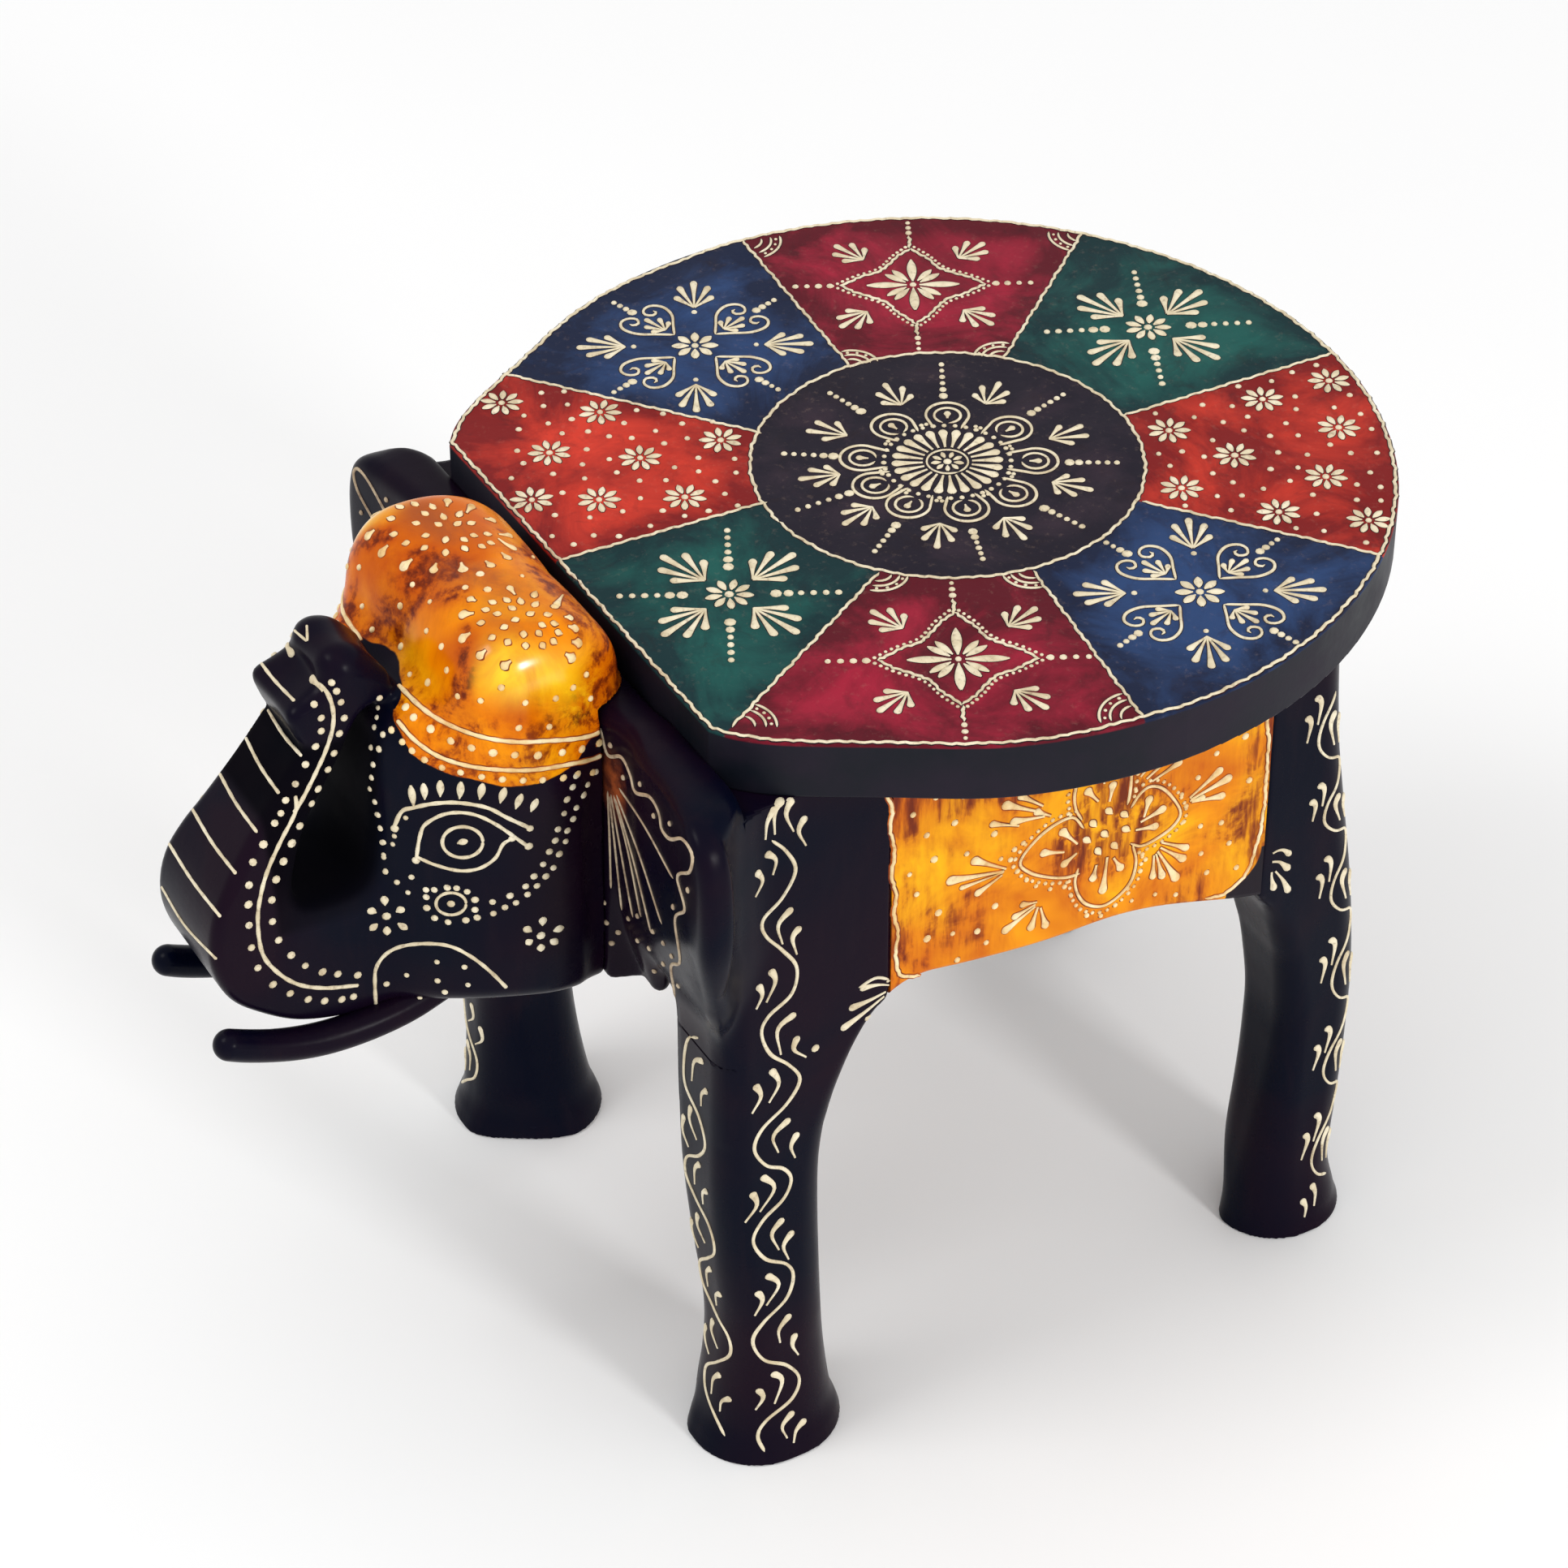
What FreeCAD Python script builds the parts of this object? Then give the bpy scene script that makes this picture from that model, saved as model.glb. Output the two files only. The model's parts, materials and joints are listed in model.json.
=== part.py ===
import FreeCAD, Part
import math, os

os.makedirs("parts", exist_ok=True)
V = FreeCAD.Vector

# ---------------------------------------------------------------- dimensions
# Millimetres.  +Z up, the elephant faces -Y, its left side is +X.
# Sections below are written about the seat centre; SHIFT_Y moves them so that
# the origin is the middle of the bounding box on the floor.
SEAT_R = 127.0            # seat radius
SEAT_TOP = 254.0          # seat height
SEAT_T = 17.5             # seat board thickness
SEAT_UNDER = SEAT_TOP - SEAT_T
CHORD_Y = -111.6          # straight front edge of the seat
CHORD_X = 74.0            # half length of the straight edge
SEAT_EDGE = 1.6           # eased edge of the seat
TUSK_TIP_Y = -233.2       # foremost point
SHIFT_Y = -(TUSK_TIP_Y + SEAT_R) / 2.0

POST_IN_X = 58.0          # inner face of the posts at the frame
POST_OUT_X = 90.5         # outer face of the posts at the frame
FLANK_OUT_X = 90.5
FLANK_T = 17.0            # flank board thickness
FLANK_Y0 = -66.0          # flank board front joint
FLANK_Y1 = 54.5           # flank board rear joint
FLANK_LOW0 = 156.8        # underside of the flank board at its front joint
FLANK_LOW1 = 141.6        # underside of the flank board at its rear joint
RUMP_T = 16.0

FRONT_Y = -126.0          # front face of the front board
FRONT_TOP = 243.0         # top of the front board
FRONT_LOW = 150.0         # lower edge of the front board
EAR_X = 106.0             # half width over the ears

TRUNK_X = 18.2            # half width of the trunk low down
TRUNK_TIP_X = 13.2        # half width at the raised tip
TUSK_X = 20.0             # tusk centre lines
DOWEL_R = 4.0
SCREW_R = 2.2
SCREW_HEAD_R = 4.4
PLUG_R = 5.0


# ---------------------------------------------------------------- helpers
def spline(pts):
    c = Part.BSplineCurve()
    c.interpolate([V(*p) for p in pts])
    return c.toShape()


def line(a, b):
    return Part.makeLine(V(*a), V(*b))


def face_of(edges):
    w = Part.Wire(Part.__sortEdges__(edges))
    return Part.Face(w)


def outline(segs, lift):
    """Closed outline from alternating straight and smooth runs.

    segs: list of ("l" or "s", [2-D points]); each run starts where the last
    one ended, and the last run ends at the first point.
    lift: turns a 2-D point into a 3-D one.
    """
    edges = []
    start = segs[0][1][0]
    last = start
    for kind, pts in segs:
        run = list(pts)
        if run[0] != last:
            run = [last] + run
        if kind == "l":
            for a, b in zip(run[:-1], run[1:]):
                edges.append(line(lift(a), lift(b)))
        else:
            edges.append(spline([lift(p) for p in run]))
        last = run[-1]
    if last != start:
        edges.append(line(lift(last), lift(start)))
    return face_of(edges)


def side_slab(segs, x0, x1):
    f = outline(segs, lambda p: (x0, p[0], p[1]))
    return f.extrude(V(x1 - x0, 0, 0))


def front_slab(segs, y0, y1):
    f = outline(segs, lambda p: (p[0], y0, p[1]))
    return f.extrude(V(0, y1 - y0, 0))


def plan_slab(segs, z0, z1):
    f = outline(segs, lambda p: (p[0], p[1], z0))
    return f.extrude(V(0, 0, z1 - z0))


def box(x0, x1, y0, y1, z0, z1):
    return Part.makeBox(x1 - x0, y1 - y0, z1 - z0, V(x0, y0, z0))


def rod(r, a, b):
    d = V(*b) - V(*a)
    return Part.makeCylinder(r, d.Length, V(*a), d)


def ellipsoid(cx, cy, cz, rx, ry, rz):
    s = Part.makeSphere(1.0, V(0, 0, 0), V(0, 0, 1), -90, 90, 360)
    m = FreeCAD.Matrix()
    m.scale(rx, ry, rz)
    m.move(V(cx, cy, cz))
    return s.transformGeometry(m)


def soften(shape, radius, pick):
    """Round the edges that pick() chooses, one by one where a group fails."""
    chosen = [e for e in shape.Edges if pick(e)]
    if not chosen:
        return shape
    for r in (radius, radius * 0.7, radius * 0.45):
        try:
            out = shape.makeFillet(r, chosen)
            if out.isValid() and out.Volume > 0.5 * shape.Volume:
                return out
        except Exception:
            pass
    return shape


def mirror_x(shape):
    return shape.mirror(V(0, 0, 0), V(1, 0, 0))


def single(shape):
    s = shape.removeSplitter()
    sol = sorted(s.Solids, key=lambda q: -q.Volume)
    return sol[0]


def group(shapes):
    return Part.makeCompound([s for sh in shapes for s in sh.Solids])


# ---------------------------------------------------------------- seat board
outer = [(CHORD_X, CHORD_Y), (81.1, -106.5), (88.0, -98.5), (93.5, -90.0),
         (104.4, -71.8), (115.2, -53.5), (123.0, -31.6), (SEAT_R, 0.0)]
seat_edges = [line((-CHORD_X, CHORD_Y, SEAT_UNDER), (CHORD_X, CHORD_Y, SEAT_UNDER)),
              spline([(x, y, SEAT_UNDER) for x, y in outer]),
              Part.Arc(V(SEAT_R, 0, SEAT_UNDER), V(0, SEAT_R, SEAT_UNDER),
                       V(-SEAT_R, 0, SEAT_UNDER)).toShape(),
              spline([(-x, y, SEAT_UNDER) for x, y in reversed(outer)])]
seat = face_of(seat_edges).extrude(V(0, 0, SEAT_T))
seat = soften(seat, SEAT_EDGE, lambda e: all(
    abs(v.Z - SEAT_TOP) < 1e-6 or abs(v.Z - SEAT_UNDER) < 1e-6
    for v in e.Vertexes) and abs(e.BoundBox.ZLength) < 1e-6)

# ---------------------------------------------------------------- front leg
leg_side = [
    ("l", [(-111.6, SEAT_UNDER), (-111.6, FRONT_LOW), (-117.0, FRONT_LOW)]),
    ("s", [(-117.0, FRONT_LOW), (-117.3, 125), (-117.3, 100), (-116.0, 75),
           (-114.2, 50), (-114.8, 30), (-116.8, 12), (-120.4, 0)]),
    ("l", [(-77.2, 0)]),
    ("s", [(-77.2, 0), (-81.0, 12), (-83.6, 30), (-85.4, 50), (-86.8, 75),
           (-87.0, 100), (-84.4, 121), (-77.6, 140), (-72.0, 150.4),
           (FLANK_Y0, FLANK_LOW0)]),
    ("l", [(FLANK_Y0, SEAT_UNDER)]),
]
leg_front = [
    ("l", [(POST_OUT_X, SEAT_UNDER), (POST_OUT_X, 150)]),
    ("s", [(POST_OUT_X, 150), (90.4, 125), (90.3, 100), (90.6, 75), (91.0, 50),
           (91.4, 30), (92.8, 12), (96.0, 0)]),
    ("l", [(52.4, 0)]),
    ("s", [(52.4, 0), (56.5, 12), (59.6, 30), (61.2, 50), (60.2, 75),
           (58.8, 100), (POST_IN_X, 125), (POST_IN_X - 0.2, 150)]),
    ("l", [(POST_IN_X - 0.2, SEAT_UNDER)]),
]
leg = side_slab(leg_side, 40, 110).common(front_slab(leg_front, -140, -50))


def tall_low_edge(e):
    b = e.BoundBox
    return b.ZLength > 120 and b.ZMin < 1.0


leg = soften(leg, 9.0, tall_low_edge)


def foot_turning(cx, cy, r):
    """Round envelope that turns the square post into a round flared foot."""
    prof = [("l", [(0.0, -1.0), (r + 0.6, -1.0), (r, 0.0)]),
            ("s", [(r, 0.0), (r - 3.2, 10.0), (r - 3.6, 26.0), (r - 1.0, 48.0),
                   (r + 8.0, 78.0), (r + 30.0, 110.0)]),
            ("l", [(r + 60.0, 110.0), (r + 60.0, 300.0), (0.0, 300.0)])]
    f = outline(prof, lambda p: (p[0], 0.0, p[1]))
    body = f.revolve(V(0, 0, 0), V(0, 0, 1), 360)
    body.translate(V(cx, cy, 0))
    return body


leg = leg.common(foot_turning(74.2, -98.8, 22.5))

# ---------------------------------------------------------------- rear leg
rear_side = [
    ("l", [(FLANK_Y1, SEAT_UNDER), (FLANK_Y1, FLANK_LOW1)]),
    ("s", [(FLANK_Y1, FLANK_LOW1), (62.2, 125), (67.8, 105), (70.6, 85), (70.0, 62),
           (67.2, 37), (64.6, 18), (61.0, 0)]),
    ("l", [(100.5, 0)]),
    ("s", [(100.5, 0), (96.2, 20), (96.6, 55), (96.3, 80), (95.2, 100),
           (90.8, 130), (84.4, 165), (80.6, 192), (78.0, SEAT_UNDER)]),
]
rear_front = [
    ("l", [(POST_OUT_X, SEAT_UNDER), (POST_OUT_X, 165)]),
    ("s", [(POST_OUT_X, 165), (89.0, 130), (86.8, 90), (86.2, 55), (87.6, 20),
           (91.7, 0)]),
    ("l", [(51.9, 0)]),
    ("s", [(51.9, 0), (57.0, 20), (58.4, 55), (58.8, 90), (60.2, 125),
           (61.0, 147)]),
    ("l", [(61.0, SEAT_UNDER)]),
]
rear = side_slab(rear_side, 40, 110).common(front_slab(rear_front, 40, 120))
rear = soften(rear, 8.0, tall_low_edge)
rear = rear.common(foot_turning(71.8, 81.0, 20.4))

# ---------------------------------------------------------------- flank board
flank_segs = [
    ("l", [(FLANK_Y0, SEAT_UNDER), (FLANK_Y0, FLANK_LOW0)]),
    ("s", [(FLANK_Y0, FLANK_LOW0), (-62.4, 158.6), (-57.5, 159.6), (-48.0, 158.6),
           (-30.0, 156.0), (-14.0, 154.6), (4.0, 154.2), (19.3, 151.8),
           (32.0, 148.2), (44.0, 144.4), (FLANK_Y1, FLANK_LOW1)]),
    ("l", [(FLANK_Y1, SEAT_UNDER)]),
]
flank = side_slab(flank_segs, FLANK_OUT_X - FLANK_T, FLANK_OUT_X)
flank = soften(flank, 2.0, lambda e: e.BoundBox.YLength > 100 and
               e.BoundBox.ZMax < 170)

# ---------------------------------------------------------------- rump board
rump_y0, rump_y1 = 58.0, 58.0 + RUMP_T
rump_segs = [
    ("l", [(-61.0, SEAT_UNDER), (-61.0, 150.0)]),
    ("s", [(-61.0, 150.0), (-40.0, 160.0), (0.0, 164.0), (40.0, 160.0),
           (61.0, 150.0)]),
    ("l", [(61.0, SEAT_UNDER)]),
]
rump = front_slab(rump_segs, rump_y0, rump_y1)
rump = soften(rump, 2.0, lambda e: e.BoundBox.XLength > 100 and
              e.BoundBox.ZMax < 170)

# ---------------------------------------------------------------- front board
half = [(57.8, FRONT_LOW), (90.4, FRONT_LOW), (92.0, 161.0), (95.0, 172.0),
        (99.0, 184.0), (103.0, 196.0), (105.4, 206.0), (EAR_X, 216.0),
        (105.5, 226.0), (104.0, 233.0), (101.5, 238.0), (98.0, 241.0),
        (90.0, FRONT_TOP)]
board_segs = [
    ("l", [half[0], half[1]]),
    ("s", half[1:]),
    ("l", [(-half[-1][0], half[-1][1])]),
    ("s", [(-x, z) for x, z in reversed(half[1:])]),
    ("l", [(-half[0][0], half[0][1])]),
    ("s", [(-half[0][0], half[0][1]), (-50.0, 153.6), (0.0, 155.0),
           (50.0, 153.6), half[0]]),
]
board = front_slab(board_segs, FRONT_Y, CHORD_Y)
# the face of the board runs back to the leg face at its lower edge
face_cut = [
    ("l", [(FRONT_Y, 300), (FRONT_Y, 205)]),
    ("s", [(FRONT_Y, 205), (-125.0, 190), (-121.5, 170), (-117.8, 155),
           (-117.0, 140)]),
    ("l", [(-140.0, 140), (-140.0, 300)]),
]
for s in (1, -1):
    side = side_slab(face_cut, min(s * 42.0, s * 130.0), max(s * 42.0, s * 130.0))
    board = board.cut(side)
round_top = [
    ("s", [(FRONT_Y - 0.01, FRONT_TOP - 4.5), (FRONT_Y + 0.8, FRONT_TOP - 2.2),
           (FRONT_Y + 2.3, FRONT_TOP - 0.7), (FRONT_Y + 4.5, FRONT_TOP + 0.01)]),
    ("l", [(FRONT_Y - 10, FRONT_TOP + 10)]),
]
board = board.cut(side_slab(round_top, -130, 130))

# ---------------------------------------------------------------- head block
head_side = [
    ("l", [(FRONT_Y, FRONT_TOP), (FRONT_Y, 148.5)]),
    ("s", [(FRONT_Y, 148.5), (-137, 149.2), (-148, 151.0), (-158, 151.8),
           (-167, 151.2), (-176, 149.8), (-186, 149.2), (-196, 149.8),
           (-208, 153.6), (-218, 160.4), (-225.6, 168), (-229.6, 178),
           (-230.2, 187.5), (-227.6, 197.6), (-222.2, 206.6), (-215.0, 216.0),
           (-206.4, 226.8), (-199.8, 235.0)]),
    ("s", [(-199.8, 235.0), (-200.4, 243.0), (-201.0, 248.4), (-199.0, 252.0)]),
    ("s", [(-199.0, 252.0), (-194.4, 254.0), (-190.9, 257.0)]),
    ("s", [(-190.9, 257.0), (-188.0, 263.0), (-183.0, 264.2), (-176.6, 261.0)]),
    ("l", [(-176.6, 261.0), (-164.0, 262.0)]),
    ("s", [(-164.0, 262.0), (-158.0, 268.6), (-148.0, 271.6), (-136.0, 271.0),
           (-124.0, 265.6), (-117.0, 257.0), (-114.4, FRONT_TOP)]),
]
head_block = side_slab(head_side, -60, 60)
hollow = [
    ("s", [(-184.6, 240.0), (-188.6, 233.0), (-194.0, 225.6), (-200.4, 218.0),
           (-206.0, 209.0), (-208.6, 200.0), (-207.0, 194.0)]),
    ("s", [(-207.0, 194.0), (-200.0, 191.2), (-192.0, 190.1), (-185.6, 192.4),
           (-183.4, 198.0)]),
    ("s", [(-183.4, 198.0), (-183.8, 212.0), (-183.6, 228.0), (-184.0, 238.0),
           (-184.6, 240.0)]),
]
head_block = head_block.cut(side_slab(hollow, -70, 70))
head_plan_half = [(TRUNK_X, -186.0), (20.6, -183.0), (25.0, -176.5), (31.8, -168.0),
                  (38.2, -158.0), (42.2, -145.0), (42.8, -135.0), (41.4, -126.0),
                  (40.8, -114.0)]
head_plan = [
    ("l", [(-TRUNK_X, -240.0), (TRUNK_X, -240.0), head_plan_half[0]]),
    ("s", head_plan_half),
    ("l", [(-40.8, -114.0)]),
    ("s", [(-x, y) for x, y in reversed(head_plan_half)]),
]
head_front = [
    ("s", [(0.0, 268.6), (9.0, 270.6), (21.0, 272.0), (31.0, 269.6),
           (38.4, 261.0), (42.2, 250.0), (44.0, 238.0), (44.4, 214.0)]),
    ("s", [(44.4, 214.0), (43.2, 190.0), (41.8, 168.0), (40.2, 158.0),
           (37.0, 151.0), (31.0, 147.0)]),
    ("l", [(31.0, 140.0), (-31.0, 140.0), (-31.0, 147.0)]),
    ("s", [(-31.0, 147.0), (-37.0, 151.0), (-40.2, 158.0), (-41.8, 168.0),
           (-43.2, 190.0), (-44.4, 214.0)]),
    ("s", [(-44.4, 214.0), (-44.0, 238.0), (-42.2, 250.0), (-38.4, 261.0),
           (-31.0, 269.6), (-21.0, 272.0), (-9.0, 270.6), (0.0, 268.6)]),
]
head = head_block.common(plan_slab(head_plan, 130, 300))
head = head.common(front_slab(head_front, -250, -100))
# the trunk narrows towards its raised tip
for s in (1, -1):
    taper = [
        ("l", [(s * TRUNK_X, 192.0), (s * 30.0, 192.0), (s * 30.0, 270.0),
               (s * TRUNK_TIP_X, 270.0), (s * TRUNK_TIP_X, 236.0)]),
        ("s", [(s * TRUNK_TIP_X, 236.0), (s * 14.2, 221.0), (s * 16.6, 207.0),
               (s * TRUNK_X, 192.0)]),
    ]
    head = head.cut(front_slab(taper, -240.0, -184.6))
head = soften(head, 3.0, lambda e: e.BoundBox.YMax < -187.0 and
              abs(abs(e.BoundBox.XMin) - TRUNK_X) < 0.01 and
              abs(abs(e.BoundBox.XMax) - TRUNK_X) < 0.01 and
              e.BoundBox.XLength < 0.01)
for s in (1, -1):
    dome = ellipsoid(s * 21.0, -141.8, 243.0, 23.0, 25.6, 29.0)
    brow = ellipsoid(s * 19.0, -150.0, 238.0, 24.0, 25.0, 24.0)
    head = head.fuse(dome).fuse(brow)
head = head.cut(box(-70, 70, FRONT_Y, -90, 100, FRONT_TOP))
head = head.cut(box(-70, 70, -112.6, -90, 100, 320))

# ---------------------------------------------------------------- tusks
def tusk(s):
    x = s * TUSK_X
    pts = [(x, -164.0, 152.0), (x, -180.0, 147.4), (x, -194.0, 146.5),
           (x, -206.0, 147.8), (x, -218.0, 151.4), (x, TUSK_TIP_Y + 4.4, 156.4)]
    c = Part.BSplineCurve()
    c.interpolate([V(*p) for p in pts])
    secs = []
    radii = [4.6, 4.6, 4.7, 4.7, 4.7, 4.6, 4.5, 4.4]
    n = len(radii)
    for i in range(n):
        t = c.FirstParameter + (c.LastParameter - c.FirstParameter) * i / (n - 1)
        circ = Part.Circle(c.value(t), c.tangent(t)[0], radii[i])
        secs.append(Part.Wire([circ.toShape()]))
    body = Part.makeLoft(secs, True, False)
    tip = Part.makeSphere(radii[-1], V(*pts[-1]))
    return body.fuse(tip)


tusk_l = single(tusk(1))
tusk_r = mirror_x(tusk_l)
head = single(head.cut(tusk_l).cut(tusk_r))

# ---------------------------------------------------------------- fastenings
flank_x = FLANK_OUT_X - FLANK_T / 2.0
flank_dowels_l = [rod(DOWEL_R, (flank_x, FLANK_Y0 - 15, z), (flank_x, FLANK_Y0 + 15, z))
                  for z in (180.0, 218.0)]
flank_dowels_l += [rod(DOWEL_R, (flank_x, FLANK_Y1 - 15, z), (flank_x, FLANK_Y1 + 15, z))
                   for z in (180.0, 218.0)]
flank_dowels_r = [mirror_x(d) for d in flank_dowels_l]

rump_y = (rump_y0 + rump_y1) / 2.0
rump_dowels = []
for s in (1, -1):
    for z in (184.0, 222.0):
        rump_dowels.append(rod(DOWEL_R, (s * 46.0, rump_y, z), (s * 71.0, rump_y, z)))

board_dowels = []
for s in (1, -1):
    for z in (178.0, 214.0):
        board_dowels.append(rod(DOWEL_R, (s * 74.0, CHORD_Y - 6.0, z),
                                (s * 74.0, CHORD_Y + 16.0, z)))


def screw(a, d, length, head_h=3.2):
    """Countersunk wood screw: head at a, shank along d."""
    d = V(*d)
    cone = Part.makeCone(SCREW_HEAD_R, SCREW_R, head_h, V(*a), d)
    shank = Part.makeCylinder(SCREW_R, length - head_h - 4.0,
                              V(*a) + d * head_h, d)
    tip = Part.makeCone(SCREW_R, 0.5, 4.0, V(*a) + d * (length - 4.0), d)
    return single(cone.fuse(shank).fuse(tip))


PLUG_DEPTH = 6.0
seat_screws, seat_plugs = [], []
for x, y in ((74.0, -92.0), (-74.0, -92.0), (75.0, 67.0), (-75.0, 67.0)):
    seat_screws.append(screw((x, y, SEAT_TOP - PLUG_DEPTH), (0, 0, -1), 45.0))
    seat_plugs.append(Part.makeCylinder(PLUG_R, PLUG_DEPTH,
                                        V(x, y, SEAT_TOP - PLUG_DEPTH)))

head_screws = [screw((x, CHORD_Y, z), (0, -1, 0), 38.0)
               for x, z in ((15.0, 178.0), (-15.0, 178.0), (15.0, 216.0),
                            (-15.0, 216.0))]


def cut_all(shape, tools):
    for t in tools:
        shape = shape.cut(t)
    return shape


leg = cut_all(leg, flank_dowels_l + board_dowels + seat_screws)
rear = cut_all(rear, flank_dowels_l + rump_dowels + seat_screws)
flank = cut_all(flank, flank_dowels_l)
rump = cut_all(rump, rump_dowels)
board = cut_all(board, board_dowels + head_screws)
head = cut_all(head, head_screws)
seat = cut_all(seat, seat_plugs + seat_screws)
# the front leg ends at the back of the board, the head at its face
leg = leg.cut(box(40, 130, -140, CHORD_Y, FRONT_LOW, 300))

# ---------------------------------------------------------------- write
nodes = {
    "seat_board": single(seat),
    "front_left_leg": single(leg),
    "front_right_leg": mirror_x(single(leg)),
    "rear_left_leg": single(rear),
    "rear_right_leg": mirror_x(single(rear)),
    "left_flank_board": single(flank),
    "right_flank_board": mirror_x(single(flank)),
    "front_board": single(board),
    "rump_board": single(rump),
    "head": single(head),
    "left_tusk": tusk_l,
    "right_tusk": tusk_r,
    "flank_dowels": group(flank_dowels_l + flank_dowels_r),
    "rump_dowels": group(rump_dowels),
    "front_board_dowels": group(board_dowels),
    "head_screws": group(head_screws),
    "seat_screws": group(seat_screws),
    "seat_plugs": group(seat_plugs),
}
total = None
for name, shape in nodes.items():
    shape = shape.copy()
    shape.translate(V(0, SHIFT_Y, 0))
    shape.exportStep("parts/" + name + ".step")
    b = shape.BoundBox
    total = b if total is None else total.united(b)
    print("%-20s solids %d  vol %10.0f  faces %4d  valid %s  x %.1f..%.1f y %.1f..%.1f z %.1f..%.1f" % (
        name, len(shape.Solids), shape.Volume, len(shape.Faces), shape.isValid(),
        b.XMin, b.XMax, b.YMin, b.YMax, b.ZMin, b.ZMax))
print("all", total)
print("SHIFT_Y", SHIFT_Y)
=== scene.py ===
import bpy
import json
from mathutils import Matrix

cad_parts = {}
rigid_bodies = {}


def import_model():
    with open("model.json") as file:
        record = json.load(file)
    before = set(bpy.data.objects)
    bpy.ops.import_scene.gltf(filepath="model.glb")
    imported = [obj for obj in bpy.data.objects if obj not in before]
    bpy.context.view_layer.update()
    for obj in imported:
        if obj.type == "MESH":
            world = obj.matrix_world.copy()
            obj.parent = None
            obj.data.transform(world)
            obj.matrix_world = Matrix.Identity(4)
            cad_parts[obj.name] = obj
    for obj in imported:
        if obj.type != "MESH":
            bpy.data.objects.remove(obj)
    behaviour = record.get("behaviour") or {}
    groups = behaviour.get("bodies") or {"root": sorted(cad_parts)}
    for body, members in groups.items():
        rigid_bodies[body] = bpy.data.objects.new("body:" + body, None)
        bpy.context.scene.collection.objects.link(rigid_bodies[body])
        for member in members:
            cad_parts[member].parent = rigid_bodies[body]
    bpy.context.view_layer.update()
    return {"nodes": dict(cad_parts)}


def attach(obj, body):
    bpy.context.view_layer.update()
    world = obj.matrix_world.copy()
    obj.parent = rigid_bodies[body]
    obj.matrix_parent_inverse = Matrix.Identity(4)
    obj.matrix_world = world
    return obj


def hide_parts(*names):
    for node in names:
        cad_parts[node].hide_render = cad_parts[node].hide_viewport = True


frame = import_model()
import json, math
import bpy
import numpy as np
from mathutils import Matrix, Vector
from mathutils.bvhtree import BVHTree

scene = bpy.context.scene
NODES = frame["nodes"]

# ------------------------------------------------------------------ units
# The object is drawn in millimetres about the seat centre: +X its left side,
# -Y its front, +Z up.  SY moves the seat centre to its place in the frame.
SY = 53.1


def metres(p):
    p = np.asarray(p, float)
    return (p + np.array([0.0, SY, 0.0])) / 1000.0


# ------------------------------------------------------------------ camera
AZ, EL, ROLL = 1.0571247135295805, 0.6708976918420949, -0.003354739855395479
CAM_D, CAM_F = 10.58528947988546 * 127.0, 6035.057873859512
CAM_TX, CAM_TY = -0.32465369230248786 * 127.0, -0.6957442942462403 * 127.0
_b = np.array([math.sin(AZ) * math.cos(EL), -math.cos(AZ) * math.cos(EL), math.sin(EL)])
_r = np.array([math.cos(AZ), math.sin(AZ), 0.0])
_u = np.cross(_r, -_b)
CAM_R = _r * math.cos(ROLL) + _u * math.sin(ROLL)
CAM_U = -_r * math.sin(ROLL) + _u * math.cos(ROLL)
CAM_B = _b
CAM_C = _b * CAM_D + CAM_R * CAM_TX + CAM_U * CAM_TY + np.array([0, 0, 254.0])

cam_data = bpy.data.cameras.new("camera")
cam_data.sensor_width = 36.0
cam_data.lens = 36.0 * CAM_F / 1932.0
cam_data.clip_start, cam_data.clip_end = 0.05, 20.0
cam = bpy.data.objects.new("camera", cam_data)
scene.collection.objects.link(cam)
m = Matrix.Identity(4)
c_m = metres(CAM_C)
for i in range(3):
    m[i][0], m[i][1], m[i][2], m[i][3] = CAM_R[i], CAM_U[i], CAM_B[i], c_m[i]
cam.matrix_world = m
scene.camera = cam
bpy.context.scene.camera = cam


def ray(u, v):
    """Direction through a point of the 1932 x 1932 view."""
    d = -CAM_B + CAM_R * ((u - 966.0) / CAM_F) + CAM_U * (-(v - 966.0) / CAM_F)
    return d / np.linalg.norm(d)


# ------------------------------------------------------------------ curves
def smooth_line(pts, step=None, n=8, closed=False):
    """Catmull-Rom through the points."""
    p = np.asarray(pts, float)
    k = len(p)
    out = []
    rng = range(k if closed else k - 1)
    for i in rng:
        if closed:
            a, b, c, d = p[(i - 1) % k], p[i], p[(i + 1) % k], p[(i + 2) % k]
        else:
            b, c = p[i], p[i + 1]
            a = p[i - 1] if i > 0 else 2 * b - c
            d = p[i + 2] if i + 2 < k else 2 * c - b
        for j in range(n):
            t = j / n
            out.append(0.5 * ((2 * b) + (c - a) * t + (2 * a - 5 * b + 4 * c - d) * t * t
                              + (3 * b - 3 * c + d - a) * t ** 3))
    if not closed:
        out.append(p[-1])
    return np.array(out)


def table1(xs, ys):
    """Smooth one-variable table as a function."""
    q = smooth_line(np.column_stack([xs, ys]), n=12)
    return lambda t: np.interp(t, q[:, 0], q[:, 1])


# ------------------------------------------------------------------ fields
def smin(a, b, k):
    h = np.clip(0.5 + 0.5 * (b - a) / k, 0, 1)
    return b * (1 - h) + a * h - k * h * (1 - h)


def smax(a, b, k):
    return -smin(-a, -b, k)


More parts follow.
